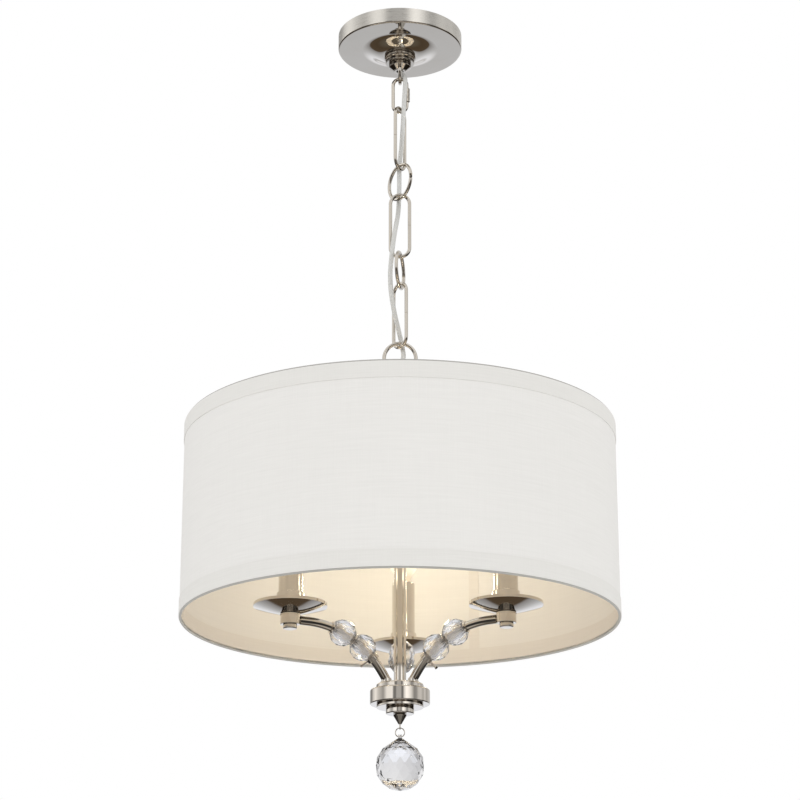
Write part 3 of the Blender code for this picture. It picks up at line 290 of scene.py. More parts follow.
# The supply cord's route: x, y and the depth under the ceiling, as in the part's source.
CORD_ROUTE = (
    (0.0000, 0.0000, 0.0010),
    (0.0000, 0.0000, 0.0140),
    (0.0000, 0.0000, 0.0250),
    (0.0000, 0.0000, 0.0320),
    (0.0002, -0.0002, 0.0378),
    (0.0022, -0.0025, 0.0428),
    (0.0050, -0.0054, 0.0482),
    (0.0054, -0.0062, 0.0560),
    (0.0045, -0.0059, 0.0700),
    (0.0035, -0.0052, 0.0900),
    (0.0026, -0.0034, 0.1060),
    (0.0014, 0.0010, 0.1200),
    (-0.0001, 0.0058, 0.1310),
    (-0.0009, 0.0086, 0.1420),
    (-0.0010, 0.0092, 0.1590),
    (-0.0014, 0.0090, 0.1760),
    (-0.0020, 0.0068, 0.1880),
    (-0.0034, 0.0015, 0.2010),
    (-0.0050, -0.0034, 0.2130),
    (-0.0066, -0.0058, 0.2260),
    (-0.0080, -0.0062, 0.2400),
    (-0.0092, -0.0056, 0.2560),
    (-0.0086, -0.0046, 0.2740),
    (-0.0056, -0.0016, 0.2940),
    (-0.0022, 0.0018, 0.3090),
    (0.0004, 0.0048, 0.3200),
    (0.0022, 0.0056, 0.3290),
    (0.0032, 0.0042, 0.3380),
    (0.0018, 0.0018, 0.3460),
    (0.0001, 0.0001, 0.3530),
    (0.0000, 0.0000, 0.3600),
    (0.0000, 0.0000, 0.3720),
    (0.0000, 0.0000, 0.3950),
    (0.0000, 0.0000, 0.4400),
    (0.0000, 0.0000, 0.5100),
    (0.0000, 0.0000, 0.5900),
    (0.0000, 0.0000, 0.6600),
)
# The bodies that the cord passes, from the ceiling down; a joint lies between each two.
CORD_BODIES = (
    "ceiling_mount",
    "quick_link",
    "long_link_1",
    "chain_ring_1",
    "long_link_2",
    "chain_ring_2",
    "long_link_3",
    "fixture",
)


def half(size):
    return size / 2


def low(node):
    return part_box(node)[0][2]


def high(node):
    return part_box(node)[1][2]


def across(node):
    """The node's size along X."""
    lowest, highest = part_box(node)
    return highest[0] - lowest[0]


def disc(node):
    """A round node's radius, top and bottom."""
    return half(across(node)), high(node), low(node)


def on_circle(radius, angle, height=0.0):
    """A point at an angle round the plumb line."""
    return (radius * math.cos(angle), radius * math.sin(angle), height)


# Meshes


def mesh_of(item):
    """The mesh that an object shows, without the object."""
    graph = bpy.context.evaluated_depsgraph_get()
    mesh = bpy.data.meshes.new_from_object(item.evaluated_get(graph))
    bpy.data.objects.remove(item)
    return mesh


def tidy(mesh):
    """Merge doubles, turn the faces outwards and shade round faces smooth."""
    shape = bmesh.new()
    shape.from_mesh(mesh)
    bmesh.ops.remove_doubles(shape, verts=shape.verts, dist=MERGE)
    bmesh.ops.recalc_face_normals(shape, faces=shape.faces)
    shape.to_mesh(mesh)
    shape.free()
    return smooth(mesh)


def smooth(mesh, sharp=SHARP_ANGLE):
    """Shade round faces smooth and keep the edges past an angle sharp."""
    mesh.shade_smooth()
    mesh.set_sharp_from_angle(angle=sharp)
    return mesh


def kept(shape, name):
    """The mesh of a finished shape, which is let go."""
    mesh = bpy.data.meshes.new(name)
    shape.to_mesh(mesh)
    shape.free()
    return mesh


def loose(name, data):
    """A new object in the scene that shows a mesh, a light or a camera."""
    item = bpy.data.objects.new(name, data)
    bpy.context.scene.collection.objects.link(item)
    return item


def paint(mesh, finish):
    """Give a mesh one finish."""
    mesh.materials.clear()
    mesh.materials.append(finish)


def raised(mesh, height):
    """Move a mesh up the plumb line."""
    mesh.transform(Matrix.Translation((0, 0, height)))
    return mesh


def true_faces(mesh):
    """Keep broad faces flat or straight to the light beside narrow rounded edges."""
    item = loose("shaded", mesh)
    change = item.modifiers.new("shading", "WEIGHTED_NORMAL")
    change.keep_sharp = True
    return mesh_of(item)


def turned(outline, sides=TURNED_SIDES, wall=0.0, closed=True):
    """Turn an outline of (radius, height) about Z; it runs down its outer side."""
    profile = bpy.data.meshes.new("profile")
    count = len(outline)
    edges = [(at, at + 1) for at in range(count - 1)]
    if closed and not wall:
        edges.append((count - 1, 0))
    profile.from_pydata([(radius, 0.0, height) for radius, height in outline], edges, [])
    item = loose("turning", profile)
    screw = item.modifiers.new("turn", "SCREW")
    screw.steps = sides
    screw.render_steps = sides
    screw.use_merge_vertices = True
    screw.merge_threshold = MERGE
    if wall:
        shell = item.modifiers.new("wall", "SOLIDIFY")
        shell.thickness = wall
        shell.offset = -1.0
        shell.use_even_offset = True
    return tidy(mesh_of(item))


def rod(radius, start, end, sides=SMALL_SIDES, radius_end=None):
    """A closed cylinder or cone between two points."""
    start = Vector(start)
    end = Vector(end)
    along = end - start
    shape = bmesh.new()
    bmesh.ops.create_cone(
        shape,
        cap_ends=True,
        segments=sides,
        radius1=radius,
        radius2=radius if radius_end is None else radius_end,
        depth=along.length,
    )
    bmesh.ops.rotate(shape, verts=shape.verts, matrix=along.to_track_quat("Z", "Y").to_matrix())
    bmesh.ops.translate(shape, verts=shape.verts, vec=(start + end) / 2)
    return tidy(kept(shape, "rod"))


def boolean(mesh, others, operation):
    """Join other meshes on to a mesh, or cut them out of it."""
    item = loose("whole", mesh)
    tools = [loose("tool", other) for other in others]
    for tool in tools:
        change = item.modifiers.new("change", "BOOLEAN")
        change.operation = operation
        change.solver = "EXACT"
        change.object = tool
    result = mesh_of(item)
    for tool in tools:
        bpy.data.objects.remove(tool)
    return smooth(result)


def upper_round(radius, height, edge, steps=EDGE_STEPS):
    """Points of a rounded upper edge whose sharp corner is given, from the top down."""
    angles = [math.pi / 2 * step / steps for step in range(steps + 1)]
    return [
        (radius - edge * (1 - math.sin(angle)), height - edge * (1 - math.cos(angle)))
        for angle in angles
    ]


def lower_round(radius, height, edge, steps=EDGE_STEPS):
    """Points of a rounded lower edge whose sharp corner is given, from the top down."""
    angles = [math.pi / 2 * step / steps for step in range(steps + 1)]
    return [
        (radius - edge * (1 - math.cos(angle)), height + edge * (1 - math.sin(angle)))
        for angle in angles
    ]


def plate(hole, radius, top, bottom, upper, lower, steps=BROKEN_STEPS, lower_steps=BROKEN_STEPS):
    """Outline of a bored plate with its upper and lower edges rounded."""
    return [
        (hole, top),
        *upper_round(radius, top, upper, steps),
        *lower_round(radius, bottom, lower, lower_steps),
        (hole, bottom),
    ]


# Node trees that shape what repeats or follows a path


def feed(tree, socket, value):
    """Give a socket a value, or link a node or one of its outputs to it."""
    if isinstance(value, bpy.types.Node):
        value = value.outputs[0]
    if isinstance(value, bpy.types.NodeSocket):
        tree.links.new(value, socket)
    elif socket.type == "RGBA":
        socket.default_value = (*value, 1.0)
    else:
        socket.default_value = value


def feed_named(tree, item, sockets):
    """Feed a node's sockets by name, with _ for a space."""
    for label, value in sockets.items():
        feed(tree, item.inputs[label.replace("_", " ")], value)


def add_node(tree, kind, *values, **named):
    """A node; values go to its first sockets, and names in small letters are its own fields."""
    item = tree.nodes.new(kind)
    for label, value in named.items():
        if label.islower():
            setattr(item, label, value)
    for socket, value in zip(item.inputs, values):
        feed(tree, socket, value)
    feed_named(tree, item, {label: value for label, value in named.items() if not label.islower()})
    return item


def maths(tree, operation, *values):
    """One sum of numbers or outputs."""
    return add_node(tree, "ShaderNodeMath", *values, operation=operation).outputs[0]


def new_tree(name, **inputs):
    """A geometry tree with named inputs, and with its geometry and finish as the others."""
    tree = bpy.data.node_groups.new(name, "GeometryNodeTree")
    for label, kind in {"Geometry": "Geometry", **inputs, "Finish": "Material"}.items():
        tree.interface.new_socket(
            label.replace("_", " "), in_out="INPUT", socket_type="NodeSocket" + kind
        )
    tree.interface.new_socket("Geometry", in_out="OUTPUT", socket_type="NodeSocketGeometry")
    return tree, tree.nodes.new("NodeGroupInput").outputs


def end_tree(tree, shape, given):
    """Every tree ends in real geometry that carries its finish."""
    real = add_node(tree, "GeometryNodeRealizeInstances", Geometry=shape)
    painted = add_node(tree, "GeometryNodeSetMaterial", Geometry=real, Material=given["Finish"])
    add_node(tree, "NodeGroupOutput", painted)
    return tree


def grown(tree, base=None, **inputs):
    """The plain mesh that a tree makes with the given inputs."""
    item = loose(tree.name, base or bpy.data.meshes.new(tree.name))
    change = item.modifiers.new("shape", "NODES")
    change.node_group = tree
    for socket in tree.interface.items_tree:
        key = socket.name.lower().replace(" ", "_")
        if socket.in_out == "INPUT" and key in inputs:
            change[socket.identifier] = inputs[key]
    item.update_tag()
    return mesh_of(item)


def bent_wire_tree():
    """A round wire along the line of points that it is given."""
    tree, given = new_tree("bent_wire", Wire_Diameter="Float", Sides="Int")
    path = add_node(tree, "GeometryNodeMeshToCurve", Mesh=given["Geometry"])
    section = add_node(
        tree,
        "GeometryNodeCurvePrimitiveCircle",
        Resolution=given["Sides"],
        Radius=maths(tree, "MULTIPLY", given["Wire Diameter"], 1 / 2),
    )
    swept = add_node(
        tree, "GeometryNodeCurveToMesh", Curve=path, Profile_Curve=section, Fill_Caps=True
    )
    return end_tree(tree, swept, given)


def teeth_tree():
    """A ring of equal teeth that stand out from a round band."""
    tree, given = new_tree("teeth", Band_Radius="Float", Count="Int", Tooth_Size="Vector")
    band = add_node(
        tree, "GeometryNodeMeshCircle", Vertices=given["Count"], Radius=given["Band Radius"]
    )
    tooth = add_node(tree, "GeometryNodeMeshCube", Size=given["Tooth Size"])
    place = add_node(tree, "GeometryNodeInputPosition")
    outward = add_node(tree, "FunctionNodeAlignRotationToVector", axis="X", Vector=place)
    row = add_node(
        tree, "GeometryNodeInstanceOnPoints", Points=band, Instance=tooth, Rotation=outward
    )
    return end_tree(tree, row, given)


def cut_stone_tree():
    """A cut stone: rows of corners on a ball, each half a step round from the last, and its hull.

    The points that the tree is given, such as a crown's, belong to the stone too.
    """
    tree, given = new_tree(
        "cut_stone",
        Radius="Float",
        Rows="Int",
        Sides="Int",
        Lowest_Slope="Float",
        Highest_Slope="Float",
    )
    sums = partial(maths, tree)
    number = add_node(tree, "GeometryNodeInputIndex")
    row = sums("FLOOR", sums("DIVIDE", number, given["Sides"]))
    step = sums("MODULO", number, given["Sides"])
    shift = sums("MULTIPLY", sums("MODULO", row, 2.0), 1 / 2)
    turn = sums("DIVIDE", sums("ADD", step, shift), given["Sides"])
    turn = sums("MULTIPLY", turn, math.tau)
    share = sums("DIVIDE", row, sums("SUBTRACT", given["Rows"], 1.0))
    rise = sums("SUBTRACT", given["Highest Slope"], given["Lowest Slope"])
    slope = sums("ADD", given["Lowest Slope"], sums("MULTIPLY", rise, share))
    reach = sums("MULTIPLY", given["Radius"], sums("COSINE", slope))
    place = add_node(
        tree,
        "ShaderNodeCombineXYZ",
        sums("MULTIPLY", reach, sums("COSINE", turn)),
        sums("MULTIPLY", reach, sums("SINE", turn)),
        sums("MULTIPLY", given["Radius"], sums("SINE", slope)),
    )
    count = sums("MULTIPLY", given["Rows"], given["Sides"])
    corners = add_node(tree, "GeometryNodePoints", Count=count, Position=place)
    every = add_node(tree, "GeometryNodeJoinGeometry", corners)
    feed(tree, every.inputs[0], given["Geometry"])
    stone = add_node(tree, "GeometryNodeConvexHull", Geometry=every)
    return end_tree(tree, stone, given)


def drum_tree():
    """A round wall: a flat section swept round a ring at a height."""
    tree, given = new_tree(
        "drum_wall",
        Wall_Radius="Float",
        Wall="Float",
        Height="Float",
        Middle_Height="Float",
        Sides="Int",
    )
    ring = add_node(
        tree,
        "GeometryNodeCurvePrimitiveCircle",
        Resolution=given["Sides"],
        Radius=given["Wall Radius"],
    )
    section = add_node(
        tree, "GeometryNodeCurvePrimitiveQuadrilateral", Width=given["Wall"], Height=given["Height"]
    )
    swept = add_node(tree, "GeometryNodeCurveToMesh", Curve=ring, Profile_Curve=section)
    lift = add_node(tree, "ShaderNodeCombineXYZ", Z=given["Middle Height"])
    moved = add_node(tree, "GeometryNodeSetPosition", Geometry=swept, Offset=lift)
    return end_tree(tree, moved, given)


BENT_WIRE = bent_wire_tree()
TEETH = teeth_tree()
CUT_STONE = cut_stone_tree()
DRUM_WALL = drum_tree()


def swept_wire(points, diameter, closed=False, sides=WIRE_SIDES):
    """A mesh of round wire along points."""
    line = bpy.data.meshes.new("line")
    count = len(points)
    edges = [(at, at + 1) for at in range(count - 1)]
    if closed:
        edges.append((count - 1, 0))
    line.from_pydata([tuple(point) for point in points], edges, [])
    return tidy(grown(BENT_WIRE, line, wire_diameter=diameter, sides=sides, finish=NICKEL))


def ring_route(diameter, section, centre, turn=0.0, start=0.0):
    """Middle line of a wire ring that stands on edge, turned about the plumb line.

    A start past zero leaves the ring open by that angle on both sides of its top.
    """
    reach = half(diameter - section)
    steps = 2 * BEND_STEPS
    points = []
    for step in range(steps + 1 if start else steps):
        angle = start + (math.tau - 2 * start) * step / steps
        points.append(on_circle(reach * math.sin(angle), turn, centre + reach * math.cos(angle)))
    return points


# Finishes

EVEN = (1, 1, 1)
FINE_DENT = 0.0002
# Most of a noise lies between these two values.
NOISE_LOW = 0.3
NOISE_HIGH = 0.7
# How far threads, slubs and brushed lines are drawn out.
THREAD_DRAW = 0.012
SLUB_DRAW = 0.05
BRUSH_DRAW = 0.02


def base_finish(name, colour, roughness, metallic=0.0, **settings):
    """A new material with its uniform numbers on the shader's own sockets."""
    material = bpy.data.materials.new(name)
    material.use_nodes = True
    tree = material.node_tree
    shader = tree.nodes["Principled BSDF"]
    settings.update(Base_Color=colour, Roughness=roughness, Metallic=metallic)
    feed_named(tree, shader, settings)
    return material, tree, shader


def own_place(tree):
    """The object's own coordinates."""
    return add_node(tree, "ShaderNodeTexCoord").outputs["Object"]


def noise(tree, stretch, scale, detail=3.0):
    """Noise on the object's own coordinates, drawn out along an axis by a small stretch."""
    place = add_node(tree, "ShaderNodeMapping", Vector=own_place(tree), Scale=stretch)
    grain = add_node(tree, "ShaderNodeTexNoise", Vector=place, Scale=scale, Detail=detail)
    return grain.outputs["Fac"]


def ranged(tree, value, first, last, **ends):
    """A value between two numbers, as 0 to 1 or between the given ends."""
    return add_node(
        tree, "ShaderNodeMapRange", Value=value, From_Min=first, From_Max=last, **ends
    ).outputs["Result"]


def between(tree, grain, first, last):
    """Spread a noise over a range of numbers."""
    return ranged(tree, grain, NOISE_LOW, NOISE_HIGH, To_Min=first, To_Max=last)


def colour_ramp(tree, value, stops):
    """A ramp of greys or colours over a 0 to 1 value."""
    item = add_node(tree, "ShaderNodeValToRGB", value)
    ramp = item.color_ramp
    for number, (position, colour) in enumerate(stops):
        stop = ramp.elements[number] if number < 2 else ramp.elements.new(position)
        stop.position = position
        stop.color = (*colour, 1.0) if isinstance(colour, tuple) else (colour, colour, colour, 1.0)
    return item.outputs["Color"]


def shades(tree, shader, grain, first, last):
    """Spread a noise over two colours of the finish."""
    tone = colour_ramp(tree, grain, ((NOISE_LOW, first), (NOISE_HIGH, last)))
    feed(tree, shader.inputs["Base Color"], tone)


def haze(tree, shader, grain, first, last):
    """Spread a noise over the finish's roughness."""
    feed(tree, shader.inputs["Roughness"], between(tree, grain, first, last))


def dent(tree, shader, height, strength, distance=FINE_DENT):
    bump = add_node(tree, "ShaderNodeBump", Height=height, Strength=strength, Distance=distance)
    feed(tree, shader.inputs["Normal"], bump)


def polished_nickel():
    """Mirror plating with faint handling haze and a little waviness."""
    material, tree, shader = base_finish("polished_nickel_plate", (0.74, 0.69, 0.62), 0.05, 1.0)
    haze(tree, shader, noise(tree, EVEN, 45.0), 0.03, 0.07)
    shades(tree, shader, noise(tree, EVEN, 18.0), (0.72, 0.67, 0.60), (0.76, 0.715, 0.65))
    dent(tree, shader, noise(tree, EVEN, 160.0, 1.0), 0.04)
    return material


def satin_nickel():
    """Brushed plating whose fine lines run round the piece."""
    material, tree, shader = base_finish("satin_nickel_plate", (0.70, 0.68, 0.64), 0.30, 1.0)
    lines = noise(tree, (BRUSH_DRAW, BRUSH_DRAW, 1), 2600.0, 2.0)
    haze(tree, shader, lines, 0.24, 0.38)
    shades(tree, shader, lines, (0.66, 0.64, 0.60), (0.74, 0.72, 0.68))
    dent(tree, shader, lines, 0.12, FINE_DENT / 2)
    return material


def mottled(name, tones, roughness, grain, metallic=0.0, hazy=0.0, dented=0.0):
    """Paint, moulding or unpolished metal with a mottled grain; the last tone is its base."""
    material, tree, shader = base_finish(name, tones[-1], roughness, metallic)
    mottle = noise(tree, EVEN, grain)
    shades(tree, shader, mottle, *tones[:2])
    if hazy:
        haze(tree, shader, mottle, roughness - hazy, roughness + hazy)
    if dented:
        dent(tree, shader, mottle, dented)
    return material


def woven(name, dark, light, thread, strength, sheen=0.15):
    """Plain weave round a drum: threads that run up and threads that run round."""
    material, tree, shader = base_finish(
        name, light, 0.92, Sheen_Weight=sheen, Specular_IOR_Level=0.2
    )
    warp = noise(tree, (1, 1, THREAD_DRAW), 1 / thread, 2.0)
    weft = noise(tree, (THREAD_DRAW, THREAD_DRAW, 1), 1 / thread, 2.0)
    slub = noise(tree, (SLUB_DRAW, SLUB_DRAW, 1), 1 / (4 * thread))
    cloth = maths(tree, "ADD", maths(tree, "ADD", warp, weft), slub)
    cloth = maths(tree, "MULTIPLY", cloth, 1 / 3)
    shades(tree, shader, cloth, dark, light)
    dent(tree, shader, cloth, strength, thread)
    return material


def crystal():
    """Clear cut glass with faint polishing haze."""
    material, tree, shader = base_finish(
        "cut_crystal", (0.985, 0.985, 0.99), 0.0, Transmission_Weight=1.0, IOR=1.53
    )
    haze(tree, shader, noise(tree, EVEN, 260.0), 0.0, 0.006)
    return material


def cord_sheath():
    """Clear sheath over pale tinned strands that show through as fine slanting lines."""
    material, tree, shader = base_finish(
        "clear_cord_sheath", (0.66, 0.66, 0.645), 0.28, Coat_Weight=0.5, Coat_Roughness=0.15
    )
    strands = add_node(
        tree,
        "ShaderNodeTexWave",
        bands_direction="DIAGONAL",
        Vector=own_place(tree),
        Scale=420.0,
        Distortion=1.2,
    )
    shades(tree, shader, strands.outputs["Fac"], (0.60, 0.60, 0.585), (0.72, 0.72, 0.70))
    return material


def lit_glass():
    """Frosted lamp, lit from inside, dim at its neck."""
    material, tree, shader = base_finish(
        "lit_lamp_glass", (0.88, 0.79, 0.65), 0.35, Emission_Color=LAMP_COLOUR
    )
    neck = low("lamp_1") + SOCKET_DEPTH
    split = add_node(tree, "ShaderNodeSeparateXYZ", own_place(tree))
    rise = ranged(tree, split.outputs["Z"], neck + LAMP_LENGTH / 4, neck + LAMP_LENGTH / 2)
    frost = between(tree, noise(tree, (1, 1, 0.3), 90.0), *LAMP_GLOW)
    feed(tree, shader.inputs["Emission Strength"], maths(tree, "MULTIPLY", frost, rise))
    return material


STEEL_TONES = ((0.52, 0.53, 0.54), (0.66, 0.67, 0.68))
BRASS_TONES = ((0.62, 0.45, 0.20), (0.76, 0.60, 0.32))
GREEN_TONES = ((0.03, 0.24, 0.09), (0.07, 0.34, 0.14), (0.05, 0.30, 0.12))
MOULDING_TONES = ((0.80, 0.76, 0.66), (0.86, 0.83, 0.74), (0.84, 0.80, 0.70))

NICKEL = polished_nickel()
SATIN = satin_nickel()
STEEL = mottled("zinc_plate", STEEL_TONES, 0.40, 220.0, 1.0, 0.08, 0.15)
BRASS = mottled("raw_brass", BRASS_TONES, 0.32, 180.0, 1.0, 0.08, 0.15)
GREEN = mottled("green_screw_paint", GREEN_TONES, 0.40, 900.0, 0.3)
LINEN = woven("shade_linen", (0.80, 0.79, 0.77), (0.86, 0.85, 0.83), 0.00045, 0.35)
TRIM = woven("shade_trim_tape", (0.765, 0.755, 0.73), (0.825, 0.815, 0.79), 0.0004, 0.3)
# The rolled rims' dark grey is painted shade: it stands in for the shade that falls under the rims.
PAINTED_RIM_SHADE = woven("shade_rim_binding", (0.40, 0.39, 0.37), (0.48, 0.47, 0.45), 0.0004, 0.2)
# The liner's and the hem's tan, darker than the linen outside, is partly the cloth's own cream and
# partly painted warm lamp light.
LINER = woven("shade_liner", (0.68, 0.615, 0.535), (0.72, 0.655, 0.575), 0.0007, 0.08, 0.0)
HEM = woven("shade_hem", (0.645, 0.57, 0.485), (0.69, 0.615, 0.53), 0.0005, 0.15, 0.0)
CRYSTAL = crystal()
CORD = cord_sheath()
MOULDING = mottled("cream_moulding", MOULDING_TONES, 0.45, 300.0, dented=0.1)
LAMP = lit_glass()


# Pieces


def piece(name, mesh, finish, body, node):
    """A finished piece that rides on a body and stands for a CAD node."""
    if finish is not CRYSTAL:
        mesh = true_faces(mesh)
    paint(mesh, finish)
    item = loose(name, mesh)
    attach(item, body)
    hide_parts(node)
    return item


def plated(name, mesh, body, node):
    """A piece in polished nickel."""
    return piece(name, mesh, NICKEL, body, node)


def repaint(finish, *nodes):
    """Give CAD nodes that keep their shape a fuller finish."""
    for node in nodes:
        paint(frame["nodes"][node].data, finish)


# Supply cord


def cord_line():
    """Close points on one smooth curve through the route."""
    knots = [Vector((x, y, -depth)) for x, y, depth in CORD_ROUTE]
    points = []
    for at in range(len(knots) - 1):
        before = knots[max(at - 1, 0)]
        first = knots[at]
        second = knots[at + 1]
        after = knots[min(at + 2, len(knots) - 1)]
        for step in range(CORD_STEPS):
            t = step / CORD_STEPS
            points.append(
                (
                    first * 2
                    + (second - before) * t
                    + (before * 2 - first * 5 + second * 4 - after) * t**2
                    + (first * 3 - before - second * 3 + after) * t**3
                )
                / 2
            )
    points.append(knots[-1])
    return points


def cord_cuts():
    """Heights at which one stretch of cord ends and the next starts, between the joints."""
    places = [joint_place[body + "_swing"].z for body in CORD_BODIES[1:]]
    cuts = [-CORD_ROUTE[0][2]]
    cuts += [half(upper + lower) for upper, lower in zip(places, places[1:])]
    return cuts + [-CORD_ROUTE[-1][2]]


def supply_cord():
    """Seven stretches, one across each joint of the chain."""
    line = cord_line()
    cuts = cord_cuts()
    for number in range(len(cuts) - 1):
        top = cuts[number]
        bottom = cuts[number + 1]
        points = [at_height(line, top)]
        points += [point for point in line if bottom + MERGE < point.z < top - MERGE]
        points += [at_height(line, bottom)]
        mesh = swept_wire(points, CORD_DIAMETER)
        paint(mesh, CORD)
        stretch = loose(f"supply_cord_{number + 1}", mesh)
        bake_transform(stretch)
        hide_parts("supply_cord")


def at_height(line, height):
    """The point where the cord passes a height."""
    if height >= line[0].z - MERGE:
        return line[0].copy()
    for above, below in zip(line, line[1:]):
        if above.z >= height >= below.z:
            return above.lerp(below, (above.z - height) / (above.z - below.z))
    return line[-1].copy()


# Ceiling end

flange_top = low("canopy_collar") - GAP
flange_bottom = flange_top - LOOP_FLANGE_HEIGHT
nipple_radius = half(NIPPLE_BORE) + NIPPLE_WALL
stem_bore = nipple_radius + GAP
stem_radius = stem_bore + STEM_WALL
stem_top = high("canopy_loop")
cord_hole = half(CORD_DIAMETER) + CORD_HOLE_CLEARANCE


def canopy():
    """Spun cover: a brushed upright rim over a polished underside that dips to the collar."""
    radius = half(across("canopy"))
    bell = half(BELL_DIAMETER)
    inner = half(across("canopy_collar"))
    floor = low("canopy")
    outline = [(radius, 0.0)]
    outline += lower_round(radius, -CANOPY_RIM_HEIGHT, CANOPY_EDGE_RADIUS, CANOPY_STEPS)
    for step in range(BEND_STEPS + 1):
        share = step / BEND_STEPS
        drop = (-CANOPY_RIM_HEIGHT - floor) * (1 - math.cos(math.pi * share)) / 2
        outline.append((bell + (inner - bell) * share, -CANOPY_RIM_HEIGHT - drop))
    outline.append((stem_radius + GAP, floor))
    mesh = turned(outline, 2 * TURNED_SIDES, wall=CANOPY_WALL)
    cover = piece("canopy_cover", mesh, SATIN, "ceiling_mount", "canopy")
    mesh = cover.data
    mesh.materials.append(NICKEL)
    edge = -CANOPY_RIM_HEIGHT + CANOPY_EDGE_RADIUS
    for face in mesh.polygons:
        face.material_index = 1 if face.center.z < edge and face.normal.z < 0.0 else 0


def canopy_collar():
    """Stepped collar with a knurled upper band."""
    radius, top, bottom = disc("canopy_collar")
    hole = stem_radius + GAP
    band = half(top + bottom)
    edge = half(COLLAR_EDGE)
    groove = half(edge)
    outline = [(hole, top), *upper_round(radius, top, edge)]
    outline += [(radius - groove, top - edge), (radius - groove, band + edge)]
    outline += [(radius, band + edge), (radius, band)]
    outline += [(radius - COLLAR_STEP, band - half(COLLAR_STEP))]
    outline += [*lower_round(radius - COLLAR_STEP, bottom, edge), (hole, bottom)]
    plated("canopy_collar_ring", turned(outline), "ceiling_mount", "canopy_collar")
    mesh = grown(
        TEETH,
        band_radius=radius - edge,
        count=COLLAR_TEETH,
        tooth_size=(2 * edge, edge, top - band - 2 * edge - GAP),
        finish=NICKEL,
    )
    mesh = raised(mesh, half(top + band))
    plated("canopy_collar_knurl", mesh, "ceiling_mount", "canopy_collar")


def canopy_loop():
    """Stem, flange and boss in one casting with the loop that the chain hangs on."""
    flange = half(LOOP_FLANGE_DIAMETER)
    boss = half(LOOP_BOSS_DIAMETER)
    boss_bottom = flange_bottom - LOOP_BOSS_HEIGHT
    well = stem_top - NIPPLE_GRIP - GAP
    edge = half(COLLAR_EDGE)
    outline = [
        (stem_bore, stem_top),
        (stem_radius, stem_top),
        (stem_radius, flange_top),
        *upper_round(flange, flange_top, edge),
        *lower_round(flange, flange_bottom, edge),
        *lower_round(boss, boss_bottom, edge),
        (cord_hole, boss_bottom),
        (cord_hole, well),
        (stem_bore, well),
    ]
    reach = half(CANOPY_LOOP_DIAMETER - CHAIN_WIRE)
    centre = flange_bottom - CANOPY_LOOP_CENTRE_SHARE * reach
    rise = half(flange_top + flange_bottom) - centre
    foot = math.acos(rise / reach)
    route = ring_route(CANOPY_LOOP_DIAMETER, CHAIN_WIRE, centre, CANOPY_LOOP_TURN, foot)
    mesh = boolean(turned(outline, SMALL_SIDES), [swept_wire(route, CHAIN_WIRE)], "UNION")
    plated("canopy_loop_casting", mesh, "ceiling_mount", "canopy_loop")


# Chain


def link_route(length, width, seam_side, mouth):
    """Middle line of a link that hangs from the origin, open by mouth on one leg."""
    bend = half(width - CHAIN_WIRE)
    upper = CHAIN_HANG - bend
    lower = upper - (length - width)
    seam = half(upper + lower)
    points = [(seam_side * bend, 0.0, seam + half(mouth))]
    for centre, start in ((upper, 0.0), (lower, math.pi)):
        for step in range(BEND_STEPS + 1):
            angle = start + math.pi * step / BEND_STEPS
            side = seam_side * bend * math.cos(angle)
            points.append((side, 0.0, centre + bend * math.sin(angle)))
    points.append((seam_side * bend, 0.0, seam - half(mouth)))
    return points


def hung(mesh, body, turn=0.0):
    """Put a mesh made round a joint in its place on the chain."""
    place = Matrix.Translation(joint_place[body + "_swing"])
    mesh.transform(place @ Matrix.Rotation(math.radians(turn), 4, "Z"))
    return mesh


def chain():
    """Quick link with its ribbed nut, then the long links and rings."""
    route = link_route(QUICK_LINK_LENGTH, QUICK_LINK_WIDTH, 1, QUICK_LINK_MOUTH)
    mesh = hung(swept_wire(route, CHAIN_WIRE), "quick_link")
    plated("quick_link_wire", mesh, "quick_link", "quick_link")
    plated("quick_link_sleeve", quick_nut(), "quick_link", "quick_link_nut")
    for name, turn, seam_side in CHAIN_ORDER:
        size = (LONG_LINK_LENGTH, LONG_LINK_WIDTH)
        if name.startswith("chain_ring"):
            size = (CHAIN_RING_DIAMETER, CHAIN_RING_DIAMETER)
        mesh = hung(swept_wire(link_route(*size, seam_side, SEAM), CHAIN_WIRE), name, turn)
        plated(name + "_wire", mesh, name, name)


def quick_nut():
    """Sleeve nut with fine ribs round it and eased ends."""
    bore = half(CHAIN_WIRE) + GAP
    outer = bore + QUICK_NUT_WALL
    top = high("quick_link_nut")
    bottom = low("quick_link_nut")
    edge = half(QUICK_NUT_WALL)
    groove = QUICK_NUT_WALL / 4
    outline = [(bore, top), *upper_round(outer, top, edge, BROKEN_STEPS)]
    start = top - 2 * edge
    pitch = (start - bottom - 2 * edge) / QUICK_NUT_RIBS
    for rib in range(QUICK_NUT_RIBS):
        height = start - rib * pitch
        outline += [(outer, height), (outer - groove, height - pitch / 4)]
        outline += [(outer - groove, height - pitch / 2), (outer, height - pitch * 3 / 4)]
    outline += [*lower_round(outer, bottom, edge, BROKEN_STEPS), (bore, bottom)]
    mesh = turned(outline, SMALL_SIDES)
    lowest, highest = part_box("quick_link_nut")
    mesh.transform(Matrix.Translation((half(lowest[0] + highest[0]), 0, 0)))
    return mesh


# Column


